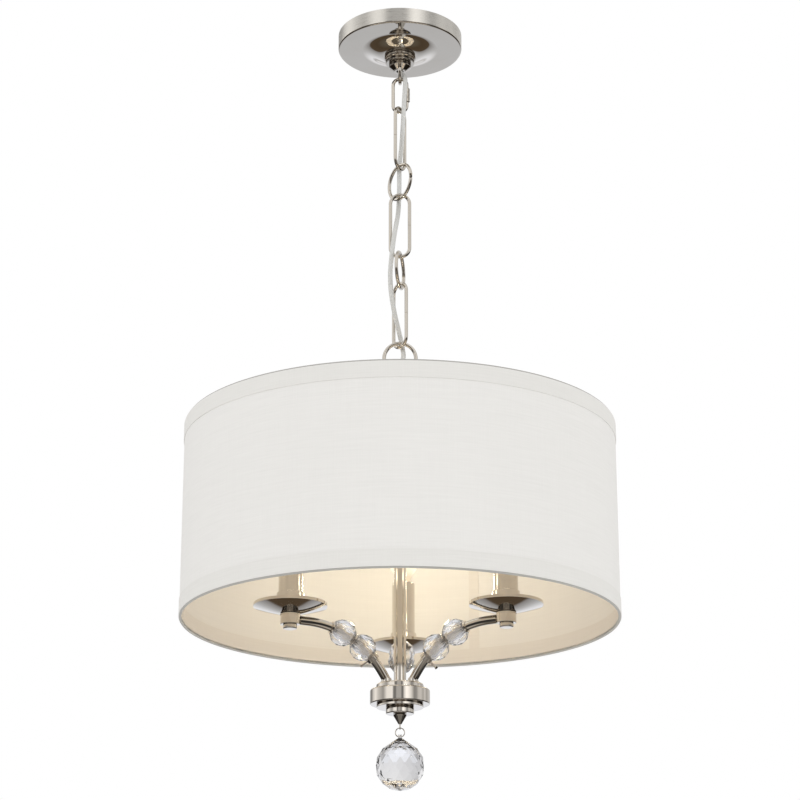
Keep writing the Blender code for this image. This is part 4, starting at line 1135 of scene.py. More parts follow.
def column_loop():
    """Loop with its grooved coupling, bored for the cord."""
    top = high("column_loop")
    centre = top - half(COLUMN_LOOP_DIAMETER)
    wire_low = centre - half(COLUMN_LOOP_DIAMETER - COLUMN_LOOP_WIRE)
    boss_top = wire_low + COLUMN_LOOP_WIRE
    boss_bottom = boss_top - COUPLING_LENGTH
    socket_top = boss_bottom + COUPLING_SOCKET_DEPTH
    hole = half(COLUMN_DIAMETER) + GAP
    outer = hole + COUPLING_WALL
    groove = COUPLING_GROOVE
    outline = [(cord_hole, boss_top), *upper_round(outer, boss_top, COUPLING_WALL)]
    outline += [
        (outer, socket_top + groove),
        (outer - groove, socket_top),
        (outer, socket_top - groove),
        *lower_round(outer, boss_bottom, groove, BROKEN_STEPS),
        (hole, boss_bottom),
        (hole, socket_top),
        (cord_hole, socket_top),
    ]
    route = ring_route(COLUMN_LOOP_DIAMETER, COLUMN_LOOP_WIRE, centre, COLUMN_LOOP_TURN)
    ring = swept_wire(route, COLUMN_LOOP_WIRE, closed=True)
    mesh = boolean(ring, [turned(outline, SMALL_SIDES)], "UNION")
    cutter = rod(cord_hole, (0, 0, boss_top + OVERRUN), (0, 0, socket_top - OVERRUN))
    mesh = boolean(mesh, [cutter], "DIFFERENCE")
    plated("column_loop_casting", mesh, "fixture", "column_loop")


def column_tube():
    """Polished tube with the seat that the spider stands on."""
    radius = half(COLUMN_DIAMETER)
    bore = radius - COLUMN_WALL
    seat = half(COLUMN_SEAT_DIAMETER)
    seat_top = low("spider_nut") - GAP - SPIDER_HUB_THICKNESS - GAP
    seat_bottom = seat_top - COLUMN_SEAT_THICKNESS
    edge = COLUMN_WALL / 3
    outline = [
        (bore, high("column_tube")),
        (radius, high("column_tube")),
        (radius, seat_top),
        *upper_round(seat, seat_top, edge, BROKEN_STEPS),
        *lower_round(seat, seat_bottom, edge, BROKEN_STEPS),
        (radius, seat_bottom),
        (radius, low("column_tube")),
        (bore, low("column_tube")),
    ]
    plated("column_pipe", turned(outline), "fixture", "column_tube")


# Shade

shade_radius = half(across("shade_drum"))
shade_top = high("shade_top_ring")
shade_bottom = low("shade_bottom_ring")
wall_top = high("shade_drum")
wall_bottom = low("shade_drum")
cloth_face = shade_radius - TRIM_THICKNESS
liner_face = cloth_face - SHADE_WALL
hem_face = liner_face - TRIM_THICKNESS
layer_gap = MERGE * 5


def wall_piece(name, outer, inner, top, bottom, finish):
    """A round wall of the shade between two radii."""
    mesh = grown(
        DRUM_WALL,
        wall_radius=half(outer + inner),
        wall=outer - inner,
        height=top - bottom,
        middle_height=half(top + bottom),
        sides=SHADE_SIDES,
        finish=finish,
    )
    return piece(name, tidy(mesh), finish, "fixture", "shade_drum")


def shade():
    """Linen outside, liner inside, tapes at both edges, covered rims and the lap seam."""
    liner = liner_face + LINER_THICKNESS
    cloth_back = liner + layer_gap
    wall_piece("shade_cloth", cloth_face, cloth_back, wall_top, wall_bottom, LINEN)
    wall_piece("shade_liner", liner, liner_face, wall_top, wall_bottom, LINER)
    upper = (shade_top - BINDING_SHOWN, wall_top - TRIM_HEIGHT)
    lower = (wall_bottom + TRIM_HEIGHT, shade_bottom + BINDING_SHOWN)
    for name, (top, bottom) in (("top", upper), ("bottom", lower)):
        back = cloth_face + layer_gap
        wall_piece(f"{name}_tape", shade_radius, back, top, bottom, TRIM)
        face = liner_face - layer_gap
        wall_piece(f"{name}_hem", face, hem_face, top, bottom, HEM)
    edge = half(cloth_face - hem_face) - layer_gap
    for node in ("shade_top_ring", "shade_bottom_ring"):
        outline = upper_round(cloth_face, high(node), edge)
        outline += lower_round(cloth_face, low(node), edge)
        outline += [(hem_face + edge, low(node)), (hem_face, low(node) + edge)]
        outline += [(hem_face, high(node) - edge), (hem_face + edge, high(node))]
        mesh = turned(outline, SHADE_SIDES)
        piece(node + "_cover", mesh, PAINTED_RIM_SHADE, "fixture", node)
    lap_seam()


def lap_seam():
    """The strip inside where the ends of the liner overlap."""
    outer = liner_face - layer_gap
    inner = outer - LAP_THICKNESS
    bottom = wall_bottom + TRIM_HEIGHT + layer_gap
    top = wall_top - TRIM_HEIGHT - layer_gap
    section = ((outer, bottom), (outer, top), (inner, top), (inner, bottom))
    reach = half(LAP_WIDTH) / shade_radius
    shape = bmesh.new()
    rows = []
    for step in range(LAP_STEPS + 1):
        angle = LAP_TURN - reach + 2 * reach * step / LAP_STEPS
        row = [on_circle(radius, angle, height) for radius, height in section]
        rows.append([shape.verts.new(corner) for corner in row])
    for first, second in zip(rows, rows[1:]):
        for at in range(len(section)):
            shape.faces.new((first[at - 1], first[at], second[at], second[at - 1]))
    shape.faces.new(rows[0])
    shape.faces.new(rows[-1])
    mesh = tidy(kept(shape, "lap"))
    piece("liner_lap_seam", mesh, HEM, "fixture", "shade_drum")


def spider():
    """Washer on the column and three wires that rise to the top rim."""
    washer = half(SPIDER_HUB_DIAMETER)
    hole = half(COLUMN_DIAMETER) + GAP
    top = low("spider_nut") - GAP
    bottom = top - SPIDER_HUB_THICKNESS
    middle = half(top + bottom)
    edge = SPIDER_HUB_THICKNESS / 5
    outline = plate(hole, washer, top, bottom, edge, edge)
    reach = shade_radius - RIM_DIAMETER - GAP
    ring_plane = shade_top - half(RIM_DIAMETER)
    start = half(washer + hole)
    wires = []
    for arm in range(SPIDER_ARMS):
        turn = Matrix.Rotation(SPIDER_TURN + math.tau * arm / SPIDER_ARMS, 4, "Z")
        rise_start = washer + SPIDER_WIRE
        rise_end = reach - washer
        points = [(start, 0.0, middle)]
        for step in range(BEND_STEPS + 1):
            share = step / BEND_STEPS
            eased = share * share * (3 - 2 * share)
            place = rise_start + (rise_end - rise_start) * share
            points.append((place, 0.0, middle + (ring_plane - middle) * eased))
        points.append((reach, 0.0, ring_plane))
        wire = swept_wire(points, SPIDER_WIRE)
        wire.transform(turn)
        wires.append(wire)
    mesh = boolean(turned(outline, SMALL_SIDES), wires, "UNION")
    piece("shade_spider_frame", mesh, STEEL, "fixture", "shade_spider")


# Hub and drop


def hub():
    """Cap, drum and ring, stacked on the foot of the column."""
    hole = half(COLUMN_DIAMETER) + GAP
    radius, top, bottom = disc("hub_cap")
    outline = plate(hole, radius, top, bottom, HUB_CAP_EDGE, HUB_CAP_LOWER_EDGE, BROAD_STEPS)
    pin = half(ARM_PIN_DIAMETER) + GAP
    pins = []
    for turn in ARM_TURNS:
        start = on_circle(ARM_FOOT_RADIUS, turn, bottom - OVERRUN)
        pins.append(rod(pin, start, on_circle(ARM_FOOT_RADIUS, turn, top + OVERRUN)))
    mesh = boolean(turned(outline), pins, "DIFFERENCE")
    plated("hub_cap_plate", mesh, "fixture", "hub_cap")

    radius, top, bottom = disc("hub_drum")
    mouth = half(HUB_DRUM_MOUTH)
    wall = HUB_DRUM_WALL
    step = radius - HUB_STEP_WIDTH
    side = bottom + HUB_STEP_HEIGHT
    outline = [
        (mouth, top),
        *upper_round(radius, top, HUB_DRUM_CHAMFER, BROAD_STEPS),
        *lower_round(radius, side, HUB_STEP_EDGE, BROAD_STEPS),
        (step, side),
        *lower_round(step, bottom, HUB_RING_UPPER_EDGE, BROKEN_STEPS),
        (hole, bottom),
        (hole, bottom + wall),
        (step - wall, bottom + wall),
        (step - wall, side + wall),
        (radius - wall, side + wall),
        (radius - wall, top - wall),
        (mouth, top - wall),
    ]
    mesh = turned(outline, 2 * TURNED_SIDES)
    plated("hub_drum_shell", mesh, "fixture", "hub_drum")

    radius, top, bottom = disc("hub_ring")
    edges = (HUB_RING_UPPER_EDGE, HUB_RING_EDGE)
    outline = plate(hole, radius, top, bottom, *edges, lower_steps=BROAD_STEPS)
    plated("hub_ring_collar", turned(outline), "fixture", "hub_ring")


def finial():
    """Cone with a plug in the column's end and a bore for the screw eye; returns its tip."""
    top = low("hub_ring") - GAP
    tip = top - FINIAL_HEIGHT
    plug = half(COLUMN_DIAMETER) - COLUMN_WALL - GAP
    radius = half(FINIAL_DIAMETER)
    edge = FINIAL_BAND_HEIGHT / 4
    outline = [
        (0.0, top + FINIAL_PLUG_HEIGHT),
        (plug, top + FINIAL_PLUG_HEIGHT),
        (plug, top),
        *upper_round(radius, top, FINIAL_BAND_HEIGHT, BROAD_STEPS),
        (radius - edge, top - FINIAL_BAND_HEIGHT - edge),
        (half(FINIAL_TIP_DIAMETER) + edge, tip + edge),
        (half(FINIAL_TIP_DIAMETER), tip),
        (0.0, tip),
    ]
    mesh = turned(outline, SMALL_SIDES, closed=False)
    bore = half(EYE_SHANK_DIAMETER) + GAP
    depth = tip + EYE_SHANK_LENGTH + GAP
    mesh = boolean(mesh, [rod(bore, (0, 0, tip - OVERRUN), (0, 0, depth))], "DIFFERENCE")
    plated("hub_finial_cone", mesh, "fixture", "hub_finial")
    return tip


def crystal_drop(tip):
    """Screw eye, jump ring and the cut ball."""
    centre = tip - GAP - half(EYE_DIAMETER)
    route = ring_route(EYE_DIAMETER, EYE_WIRE, centre, EYE_TURN)
    eye = swept_wire(route, EYE_WIRE, closed=True, sides=FINE_WIRE_SIDES)
    start = (0, 0, tip - half(EYE_WIRE))
    shank = rod(half(EYE_SHANK_DIAMETER), start, (0, 0, tip + EYE_SHANK_LENGTH))
    mesh = boolean(eye, [shank], "UNION")
    plated("finial_screw_eye", mesh, "fixture", "finial_eye")

    centre = high("drop_ring") - half(DROP_RING_DIAMETER)
    route = ring_route(DROP_RING_DIAMETER, DROP_RING_WIRE, centre)
    mesh = swept_wire(route, DROP_RING_WIRE, closed=True, sides=FINE_WIRE_SIDES)
    plated("drop_jump_ring", mesh, "drop_ring", "drop_ring")
    piece("cut_ball", ball(), CRYSTAL, "crystal_ball", "crystal_ball")


def round_corners(radius, height, sides, shift=0.0):
    """Even corners round the plumb line; a shift of 1/2 sets them half a step on."""
    return [on_circle(radius, math.tau * (step + shift) / sides, height) for step in range(sides)]


def cut_stone(corners, radius, rows, sides, slopes):
    """A cut stone through rows of facets and its own corners, with its edges just broken."""
    points = bpy.data.meshes.new("corners")
    points.from_pydata(corners, [], [])
    mesh = grown(
        CUT_STONE,
        points,
        radius=radius,
        rows=rows,
        sides=sides,
        lowest_slope=slopes[0],
        highest_slope=slopes[1],
        finish=CRYSTAL,
    )
    item = loose("stone", mesh)
    flat = item.modifiers.new("flat", "DECIMATE")
    flat.decimate_type = "DISSOLVE"
    flat.angle_limit = FLAT_ANGLE
    edge = item.modifiers.new("edge", "BEVEL")
    edge.width = STONE_EDGE
    edge.segments = 1
    edge.limit_method = "ANGLE"
    edge.angle_limit = FACET_ANGLE
    return mesh_of(item)


def ball():
    """Cut ball under a pointed crown with a bored lug; the ring's lowest wire is at the joint."""
    radius = half(BALL_DIAMETER)
    ring_radius = half(DROP_RING_DIAMETER - DROP_RING_WIRE)
    bulge = half(LUG_DIAMETER) ** 2 / (2 * ring_radius)
    hole_radius = half(DROP_RING_WIRE) + half(bulge) + BALL_HOLE_CLEARANCE
    hole_height = half(bulge)
    tip = hole_height + hole_radius + LUG_ABOVE_HOLE
    root = tip - LUG_HEIGHT
    middle = tip - BALL_NECK_LENGTH - radius
    corners = [(0.0, 0.0, -radius)]
    corners += round_corners(half(BALL_CROWN_DIAMETER), tip - BALL_CROWN_DROP - middle, BALL_SIDES)
    corners += round_corners(half(LUG_DIAMETER), root - middle, BALL_SIDES)
    slopes = (BALL_LOWEST_SLOPE, BALL_HIGHEST_SLOPE)
    mesh = raised(cut_stone(corners, radius, BALL_ROWS, BALL_SIDES, slopes), middle)
    start = (0, 0, root - half(LUG_HEIGHT))
    lug = rod(half(LUG_DIAMETER), start, (0, 0, tip), BALL_SIDES, half(LUG_TIP_DIAMETER))
    reach = half(LUG_DIAMETER) + OVERRUN
    hole = rod(hole_radius, (-reach, 0, hole_height), (reach, 0, hole_height))
    mesh = boolean(boolean(mesh, [lug], "UNION"), [hole], "DIFFERENCE")
    mesh.set_sharp_from_angle(angle=FLAT_ANGLE)
    mesh.transform(Matrix.Translation(joint_place["crystal_ball_swing"]))
    return mesh


# Arms


def arm_point(place):
    """Middle line of an arm at a distance along it: radius, height and slope."""
    straight = min(place, ARM_STRAIGHT)
    reach = ARM_FOOT_RADIUS + straight * math.cos(ARM_SLOPE)
    height = ARM_FOOT_RISE + straight * math.sin(ARM_SLOPE)
    bent = min(max(place - ARM_STRAIGHT, 0) / ARM_BEND_RADIUS, ARM_SLOPE)
    slope = ARM_SLOPE - bent
    reach += ARM_BEND_RADIUS * (math.sin(ARM_SLOPE) - math.sin(slope))
    height += ARM_BEND_RADIUS * (math.cos(slope) - math.cos(ARM_SLOPE))
    level = max(place - ARM_STRAIGHT - ARM_BEND_RADIUS * ARM_SLOPE, 0)
    return reach + level, height, slope


def tilt_room(half_length, radius):
    """Room that a straight piece needs beside its neighbour on a bent arm."""
    return GAP + radius * half_length / ARM_BEND_RADIUS


arm_radius = half(ARM_DIAMETER)
bead_half = half(BEAD_LENGTH)
bead_face = math.sqrt(half(BEAD_DIAMETER) ** 2 - bead_half**2)
bead_bore = arm_radius + GAP + BEAD_LENGTH**2 / (8 * ARM_BEND_RADIUS)
collar_radius = arm_radius + GAP + BEAD_COLLAR_WALL
collar_end = BEAD_COLLAR_PLACE + half(BEAD_COLLAR_LENGTH)
bead_lower_place = collar_end + tilt_room(bead_half, collar_radius) + bead_half
spacer_room = tilt_room(bead_half, half(SPACER_DIAMETER))
spacer_place = bead_lower_place + bead_half + spacer_room + half(SPACER_THICKNESS)
bead_upper_place = spacer_place + half(SPACER_THICKNESS) + spacer_room + bead_half
stop_room = tilt_room(bead_half, half(STOP_DIAMETER))
stop_place = bead_upper_place + bead_half + stop_room + half(STOP_THICKNESS)
cup_place = ARM_STRAIGHT + ARM_BEND_RADIUS * ARM_SLOPE + ARM_LEVEL_RUN


def arm_frame(turn):
    """The place that an arm is built in, along +X."""
    foot = Matrix.Translation((0, 0, high("hub_cap") + GAP))
    return foot @ Matrix.Rotation(turn, 4, "Z")


def on_arm(mesh, turn, place, spin=0.0):
    """Set a mesh made about Z square on the arm at a distance along it."""
    reach, height, slope = arm_point(place)
    mesh.transform(
        arm_frame(turn)
        @ Matrix.Translation((reach, 0, height))
        @ Matrix.Rotation(math.pi / 2 - slope, 4, "Y")
        @ Matrix.Rotation(spin, 4, "Z")
    )
    return mesh


def bead_mesh():
    """Faceted bead about Z with a bore for the arm."""
    corners = round_corners(bead_face, -bead_half, BEAD_SIDES, 1 / 2)
    corners += round_corners(bead_face, bead_half, BEAD_SIDES, 1 / 2)
    slopes = (-BEAD_SLOPE, BEAD_SLOPE)
    mesh = cut_stone(corners, half(BEAD_DIAMETER), BEAD_ROWS, BEAD_SIDES, slopes)
    reach = bead_half + OVERRUN
    mesh = boolean(mesh, [rod(bead_bore, (0, 0, -reach), (0, 0, reach))], "DIFFERENCE")
    mesh.set_sharp_from_angle(angle=BORE_ANGLE)
    return mesh


def arm_mesh():
    """Bent arm with its foot ferrule, pin, bead stop and spigot."""
    tip_place = cup_place - half(HOLDER_DIAMETER) - GAP
    steps = 2 * BEND_STEPS
    bend = ARM_BEND_RADIUS * ARM_SLOPE
    places = [0.0, ARM_STRAIGHT]
    places += [ARM_STRAIGHT + bend * (step + 1) / steps for step in range(steps)]
    places += [tip_place]
    foot = ARM_FOOT_RADIUS
    points = [(foot, 0.0, GAP)]
    for place in places:
        reach, height, _ = arm_point(place)
        points.append((reach, 0.0, height))
    tube = swept_wire(points, ARM_DIAMETER, sides=ARM_SIDES)
    radius = half(FERRULE_DIAMETER)
    neck = radius - FERRULE_EDGE
    pin = half(ARM_PIN_DIAMETER)
    pin_end = low("hub_cap") - high("hub_cap")
    outline = [(0.0, FERRULE_HEIGHT), *upper_round(neck, FERRULE_HEIGHT, FERRULE_EDGE, SMALL_STEPS)]
    outline += [(neck, 2 * FERRULE_EDGE), (radius, 2 * FERRULE_EDGE), (radius, 0.0)]
    outline += [(pin, 0.0), (pin, pin_end), (0.0, pin_end)]
    ferrule = turned(outline, SMALL_SIDES, closed=False)
    ferrule.transform(Matrix.Translation((foot, 0, 0)))
    faces = []
    for side in (-1, 1):
        reach, height, _ = arm_point(stop_place + side * half(STOP_THICKNESS))
        faces.append((reach, 0, height))
    stop = rod(half(STOP_DIAMETER), *faces)
    reach, height, _ = arm_point(tip_place)
    start = (reach - ARM_DIAMETER, 0, height)
    spigot = rod(half(SPIGOT_DIAMETER), start, (reach + GAP + SPIGOT_LENGTH, 0, height))
    return boolean(tube, [ferrule, stop, spigot], "UNION")


def bead_collar_mesh():
    """Ring with eased edges and its thumb screw, which has a tapered head."""
    rise = half(BEAD_COLLAR_LENGTH)
    bore = arm_radius + GAP
    edge = BEAD_COLLAR_EDGE
    outline = plate(bore, collar_radius, rise, -rise, edge, edge)
    start = half(arm_radius + collar_radius) + GAP
    end = collar_radius + THUMB_SCREW_LENGTH
    neck = (THUMB_HEAD_LENGTH - end, 0, 0)
    thread = half(THUMB_SCREW_DIAMETER)
    screw = rod(thread, (-start, 0, 0), (-end, 0, 0), SCREW_SIDES)
    knob = rod(thread, neck, (-end - GAP, 0, 0), SCREW_SIDES, half(THUMB_HEAD_DIAMETER))
    return boolean(turned(outline, SMALL_SIDES), [screw, knob], "UNION")


def cup_holder_mesh(height):
    """Body at the arm's end with a bottom cap and a stud, about Z."""
    body = half(HOLDER_DIAMETER)
    cap = half(HOLDER_CAP_DIAMETER)
    stud = half(STUD_DIAMETER)
    top = height + HOLDER_ABOVE_ARM
    bottom = height - HOLDER_BELOW_ARM
    base = bottom - HOLDER_CAP_HEIGHT
    groove = HOLDER_EDGE / 2
    outline = [
        (0.0, top + STUD_HEIGHT),
        (stud, top + STUD_HEIGHT),
        (stud, top),
        *upper_round(body, top, groove, BROKEN_STEPS),
        *lower_round(body, bottom, HOLDER_EDGE),
        (cap - groove, bottom),
        (cap - groove, bottom - groove),
        (cap, bottom - 2 * groove),
        *lower_round(cap, base, HOLDER_CAP_EDGE, BROAD_STEPS),
        (0.0, base),
    ]
    socket = half(SPIGOT_DIAMETER) + GAP
    inner = -body + SPIGOT_LENGTH + GAP
    hole = rod(socket, (-body - OVERRUN, 0, height), (inner, 0, height))
    return boolean(turned(outline, SMALL_SIDES, closed=False), [hole], "DIFFERENCE")


def dish_rise(radius):
    """Height of the dish's underside above its seat."""
    inner = half(HOLDER_DIAMETER)
    share = (radius - inner) / (half(DISH_DIAMETER) - inner)
    return DISH_DEPTH * max(share, 0) ** DISH_CURVE


def dish_mesh(under):
    """Spun dish with a rolled lip."""
    rim = half(DISH_DIAMETER)
    inner = half(HOLDER_DIAMETER)
    outline = [(rim, under + DISH_DEPTH + DISH_LIP)]
    for step in range(DISH_STEPS + 1):
        radius = rim + (inner - rim) * step / DISH_STEPS
        outline.append((radius, under + dish_rise(radius)))
    outline.append((half(STUD_DIAMETER) + GAP, under))
    return turned(outline, wall=DISH_WALL)


def sleeve_mesh(base, top):
    """Candle sleeve in a stepped foot that widens to its base."""
    foot = half(SLEEVE_FOOT_DIAMETER)
    step = half(SLEEVE_STEP_DIAMETER)
    radius = half(SLEEVE_DIAMETER)
    bore = radius - SLEEVE_WALL
    shoulder = base + SLEEVE_FOOT_HEIGHT
    edge = SLEEVE_WALL / 3
    outline = [
        (bore, top),
        *upper_round(radius, top, edge, BROKEN_STEPS),
        (radius, shoulder),
        *upper_round(step, shoulder, 2 * edge, SMALL_STEPS),
        (step, shoulder - SLEEVE_STEP_HEIGHT),
        (foot, base + 2 * edge),
        (foot, base),
        (bore, base),
    ]
    return turned(outline, SMALL_SIDES)


def lamp_mesh(mouth, floor):
    """Candle lamp: neck that swells to the widest place, then a pointed flame."""
    neck = half(LAMP_BASE_DIAMETER)
    widest = half(LAMP_DIAMETER)
    start = mouth + GAP
    swell = LAMP_LENGTH * LAMP_WIDEST_SHARE
    outline = []
    for step in range(LAMP_STEPS):
        share = 1 - step / LAMP_STEPS
        radius = widest * math.cos(math.pi / 2 * share) ** LAMP_POINT_CURVE
        outline.append((radius if step else 0.0, start + swell + (LAMP_LENGTH - swell) * share))
    for step in range(LAMP_STEPS + 1):
        share = 1 - step / LAMP_STEPS
        radius = neck + (widest - neck) * ((1 - math.cos(math.pi * share)) / 2) ** LAMP_NECK_CURVE
        outline.append((radius, start + swell * share))
    outline += [(neck, floor + GAP), (0.0, floor + GAP)]
    return turned(outline, SMALL_SIDES, closed=False)


def candle(number, turn):
    """Cup holder, dish, sleeve, lampholder and lamp at an arm's end."""
    reach, height, _ = arm_point(cup_place)
    cup = arm_frame(turn) @ Matrix.Translation((reach, 0, 0))
    seat = height + HOLDER_ABOVE_ARM
    under = seat + GAP

    def put(name, mesh, finish, node):
        mesh.transform(cup)
        return piece(f"{name}_{number}", mesh, finish, "fixture", f"{node}_{number}")

    put("holder_body", cup_holder_mesh(height), NICKEL, "cup_holder")
    tooth = HOLDER_TOOTH
    band = grown(
        TEETH,
        band_radius=half(HOLDER_DIAMETER),
        count=HOLDER_TEETH,
        tooth_size=(tooth, tooth, 2 * tooth),
        finish=NICKEL,
    )
    put("holder_knurl", raised(band, seat - 2 * tooth), NICKEL, "cup_holder")
    put("dish_bowl", dish_mesh(under), NICKEL, "drip_dish")
    foot = half(SLEEVE_FOOT_DIAMETER)
    base = under + dish_rise(foot) + DISH_WALL + 2 * GAP
    top = base + SLEEVE_HEIGHT
    put("sleeve_tube", sleeve_mesh(base, top), NICKEL, "candle_sleeve")
    bore = half(SLEEVE_DIAMETER) - SLEEVE_WALL
    shell = bore - LAMPHOLDER_CLEARANCE
    socket = half(LAMP_BASE_DIAMETER) + LAMP_BASE_CLEARANCE
    mouth = top - LAMPHOLDER_RECESS
    floor = mouth - SOCKET_DEPTH
    bottom = seat + STUD_HEIGHT + GAP
    outline = [(socket, mouth), *upper_round(shell, mouth, HOLDER_EDGE), (shell, bottom)]
    outline += [(0.0, bottom), (0.0, floor), (socket, floor)]
    body = turned(outline, SMALL_SIDES)
    put("lampholder_body", body, MOULDING, "lampholder")
    glass = put("candle_lamp", lamp_mesh(mouth, floor), LAMP, "lamp")
    glass.visible_shadow = False
    light = bpy.data.lights.new(f"lamp_light_{number}", "POINT")
    light.energy = LAMP_POWERS[number - 1]
    light.color = LAMP_COLOUR
    light.shadow_soft_size = half(LAMP_DIAMETER)
    item = loose(f"lamp_light_{number}", light)
    item.location = cup @ Vector((0, 0, mouth + LAMP_LENGTH * LAMP_LIGHT_SHARE))
    item.parent = glass


def arms():
    """Three arms with their beads, spacers, collars and candles."""
    spacer = half(SPACER_DIAMETER)
    bore = arm_radius + GAP
    rise = half(SPACER_THICKNESS)
    edge = half(rise)
    outline = plate(bore, spacer, rise, -rise, edge, edge)
    washer = turned(outline, SMALL_SIDES)
    bead = bead_mesh()
    bar = arm_mesh()
    collar = bead_collar_mesh()
    for number, (turn, thumb) in enumerate(zip(ARM_TURNS, THUMB_TURNS), start=1):
        arm = bar.copy()
        arm.transform(arm_frame(turn))
        plated(f"arm_tube_{number}", arm, "fixture", f"arm_{number}")
        ring = on_arm(collar.copy(), turn, BEAD_COLLAR_PLACE, thumb)
        plated(f"stop_collar_{number}", ring, "fixture", f"bead_collar_{number}")
        for part, place in (("bead_lower", bead_lower_place), ("bead_upper", bead_upper_place)):
            stone = on_arm(bead.copy(), turn, place)
            name = f"{part}_{number}"
            piece(name + "_stone", stone, CRYSTAL, name, name)
        spacer_disc = on_arm(washer.copy(), turn, spacer_place)
        plated(f"spacer_disc_{number}", spacer_disc, "fixture", f"bead_spacer_{number}")
        candle(number, turn)


# Stage

STUDIO_STRENGTH = 1.16
EVEN_STRENGTH = 0.85
CRYSTAL_PALER = 0.45
PANEL_STRENGTH = 1.3
# Heights between which the floor gives way to the panels, and the colours of even light.
HORIZON = (-0.08, 0.04)
WHITE = (1.0, 1.0, 1.0)
EVEN_LIGHT = (1.0, 0.995, 0.985)
PALE_LIGHT = (0.84, 0.84, 0.86)
FLOOR_COLOUR = (0.9, 0.9, 0.89)
FLOOR_DEPTH = -2.6
FLOOR_SIZE = 9.0
# Each soft light's place, size and power.
SOFT_LIGHTS = {
    "soft_left": ((-1.6, -1.5, 0.5), 1.2, 7.0),
    "soft_right": ((1.9, -0.9, 0.1), 1.2, 5.0),
    "soft_low": ((0.3, -1.2, -2.2), 1.0, 4.0),
}


def dimmed(tree, colour, share):
    """A colour times a number."""
    return add_node(
        tree, "ShaderNodeVectorMath", colour, operation="SCALE", Scale=share
    ).outputs[0]


def studio(tree):
    """What mirrors and crystal see: upright panels round the object, a floor with dark strips."""
    place = add_node(tree, "ShaderNodeTexCoord").outputs["Generated"]
    side, depth, height = add_node(tree, "ShaderNodeSeparateXYZ", place).outputs
    sky = (
        (0.0, (0.78, 0.775, 0.785)),
        (0.5, (0.90, 0.885, 0.86)),
        (1.0, (0.95, 0.94, 0.93)),
    )
    # Degrees round from the front, to the right, and how bright the panel is there.
    panels = (
        (-180, 0.46),
        (-150, 0.28),
        (-138, 0.20),
        (-122, 0.66),
        (-106, 0.90),
        (-92, 0.62),
        (-76, 0.44),
        (-66, 0.33),
        (-57, 0.60),
        (-50, 0.86),
        (-28, 0.90),
        (-23, 0.20),
        (-15, 0.18),
        (-11, 0.42),
        (5, 0.42),
        (9, 0.16),
        (13, 0.18),
        (18, 0.72),
        (27, 1.15),
        (36, 1.0),
        (46, 0.72),
        (58, 0.26),
        (68, 0.30),
        (78, 0.56),
        (90, 0.60),
        (102, 0.40),
        (112, 0.62),
        (126, 0.36),
        (140, 0.50),
        (180, 0.52),
    )
    # From the front edge of the floor, under the object, to its far edge.
    ground = (
        (0.0, (0.30, 0.28, 0.26)),
        (0.02, (0.07, 0.055, 0.04)),
        (0.05, (0.07, 0.055, 0.04)),
        (0.08, (0.32, 0.30, 0.28)),
        (0.14, (0.14, 0.13, 0.12)),
        (0.30, (0.20, 0.19, 0.175)),
        (0.38, (0.50, 0.475, 0.44)),
        (0.52, (0.50, 0.475, 0.44)),
        (0.55, (0.10, 0.085, 0.065)),
        (0.70, (0.10, 0.085, 0.065)),
        (0.78, (0.07, 0.05, 0.032)),
        (0.872, (0.08, 0.058, 0.038)),
        (0.884, (0.26, 0.26, 0.27)),
        (0.945, (0.51, 0.53, 0.57)),
        (0.985, (0.78, 0.81, 0.88)),
    )
    # Dark screens that lie on the floor along both sides of the object.
    screens = ((0.0, 1.0), (0.50, 1.0), (0.57, 0.12), (0.85, 0.12), (1.0, 0.5))
    bearing = maths(tree, "ARCTAN2", side, maths(tree, "MULTIPLY", depth, -1.0))
    bearing = ranged(tree, maths(tree, "DEGREES", bearing), -180.0, 180.0)
    panel = colour_ramp(tree, bearing, [(0.5 + turn / 360, value) for turn, value in panels])
    panel = maths(tree, "MULTIPLY", panel, PANEL_STRENGTH)
    upper = dimmed(tree, colour_ramp(tree, height, sky), panel)
    lower = colour_ramp(tree, ranged(tree, depth, -1.0, 1.0), ground)
    lower = dimmed(tree, lower, colour_ramp(tree, maths(tree, "ABSOLUTE", side), screens))
    return add_node(tree, "ShaderNodeMixRGB", ranged(tree, height, *HORIZON), lower, upper)


def mirrored(tree, rays):
    """One for the rays that mirrors and crystal send out, else nothing."""
    return maths(
        tree, "MAXIMUM", rays.outputs["Is Glossy Ray"], rays.outputs["Is Transmission Ray"]
    )


def world():
    """White for the camera, an even pale light for matt things, the studio for mirrors.

    Crystal sees the studio paler, because the white behind the object shows through it.
    """
    sky = bpy.data.worlds.new("studio")
    bpy.context.scene.world = sky
    sky.use_nodes = True
    tree = sky.node_tree
    tree.nodes.clear()
    rays = add_node(tree, "ShaderNodeLightPath")
    even = add_node(tree, "ShaderNodeBackground", EVEN_LIGHT, EVEN_STRENGTH)
    through = maths(tree, "MULTIPLY", rays.outputs["Is Transmission Ray"], CRYSTAL_PALER)
    paler = add_node(tree, "ShaderNodeMixRGB", through, studio(tree), PALE_LIGHT)
    mirror = add_node(tree, "ShaderNodeBackground", paler, STUDIO_STRENGTH)
    white = add_node(tree, "ShaderNodeBackground", WHITE, 1.0)
    lit = add_node(tree, "ShaderNodeMixShader", mirrored(tree, rays), even, mirror)
    seen = add_node(tree, "ShaderNodeMixShader", rays.outputs["Is Camera Ray"], lit, white)
    add_node(tree, "ShaderNodeOutputWorld", seen)


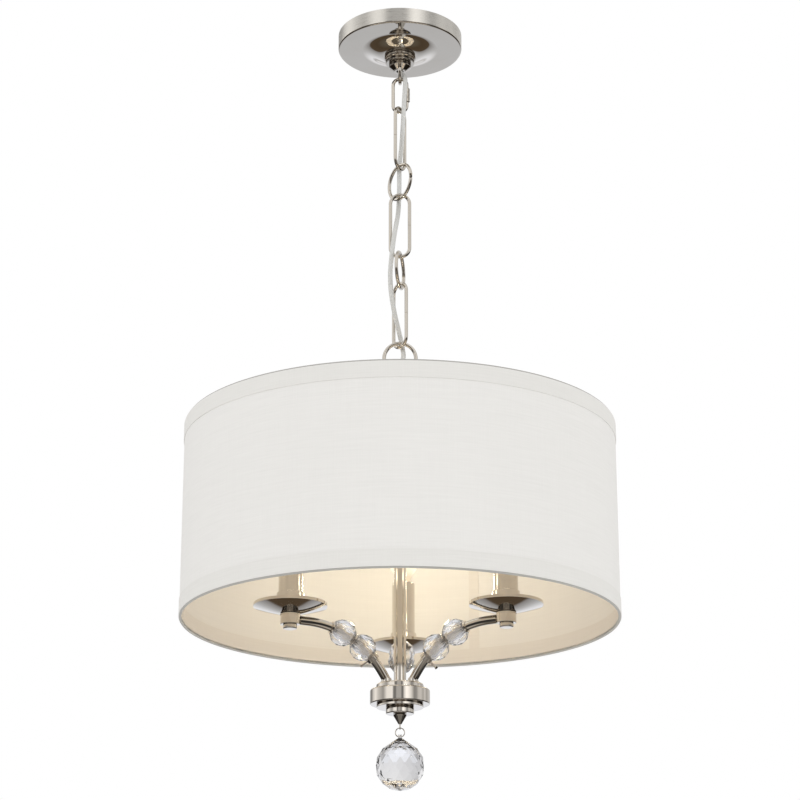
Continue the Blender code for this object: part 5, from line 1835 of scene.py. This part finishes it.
def studio_floor():
    """Plain pale floor, white where the camera sees it, that lets mirrored rays through."""
    shape = bmesh.new()
    bmesh.ops.create_grid(shape, x_segments=1, y_segments=1, size=half(FLOOR_SIZE))
    bmesh.ops.translate(shape, verts=shape.verts, vec=(0, 0, FLOOR_DEPTH))
    mesh = kept(shape, "floor")
    material = bpy.data.materials.new("floor_paint")
    material.use_nodes = True
    tree = material.node_tree
    tree.nodes.clear()
    rays = add_node(tree, "ShaderNodeLightPath")
    side = add_node(tree, "ShaderNodeNewGeometry")
    matt = add_node(tree, "ShaderNodeBsdfDiffuse", FLOOR_COLOUR)
    glow = add_node(tree, "ShaderNodeEmission", WHITE, 1.0)
    clear = add_node(tree, "ShaderNodeBsdfTransparent")
    cover = add_node(tree, "ShaderNodeMixShader", rays.outputs["Is Camera Ray"], matt, glow)
    through = maths(tree, "MAXIMUM", mirrored(tree, rays), side.outputs["Backfacing"])
    seen = add_node(tree, "ShaderNodeMixShader", through, cover, clear)
    add_node(tree, "ShaderNodeOutputMaterial", seen)
    mesh.materials.append(material)
    loose("floor", mesh)


def soft_light(name, place, size, energy):
    """A large soft light that points at the middle of the shade."""
    light = bpy.data.lights.new(name, "AREA")
    light.shape = "SQUARE"
    light.size = size
    light.energy = energy
    item = loose(name, light)
    item.location = place
    aim = Vector((0, 0, half(shade_top + shade_bottom))) - Vector(place)
    item.rotation_euler = aim.to_track_quat("-Z", "Y").to_euler()
    item.visible_glossy = False
    item.visible_transmission = False


def camera():
    data = bpy.data.cameras.new("camera")
    data.lens = CAMERA_LENS
    data.sensor_width = CAMERA_SENSOR
    item = loose("camera", data)
    item.location = (
        CAMERA_DISTANCE * math.sin(CAMERA_TURN),
        -CAMERA_DISTANCE * math.cos(CAMERA_TURN),
        CAMERA_HEIGHT,
    )
    item.rotation_euler = (CAMERA_TILT, 0.0, CAMERA_TURN)
    bpy.context.scene.camera = item


def stage():
    bpy.context.scene.view_settings.view_transform = "Standard"
    world()
    studio_floor()
    for name, light in SOFT_LIGHTS.items():
        soft_light(name, *light)


camera()
supply_cord()
canopy()
canopy_collar()
canopy_loop()
chain()
column_loop()
column_tube()
shade()
spider()
hub()
crystal_drop(finial())
arms()
repaint(STEEL, "crossbar", "spider_nut")
repaint(BRASS, "threaded_nipple", "lock_nut")
repaint(GREEN, "ground_screw")
stage()
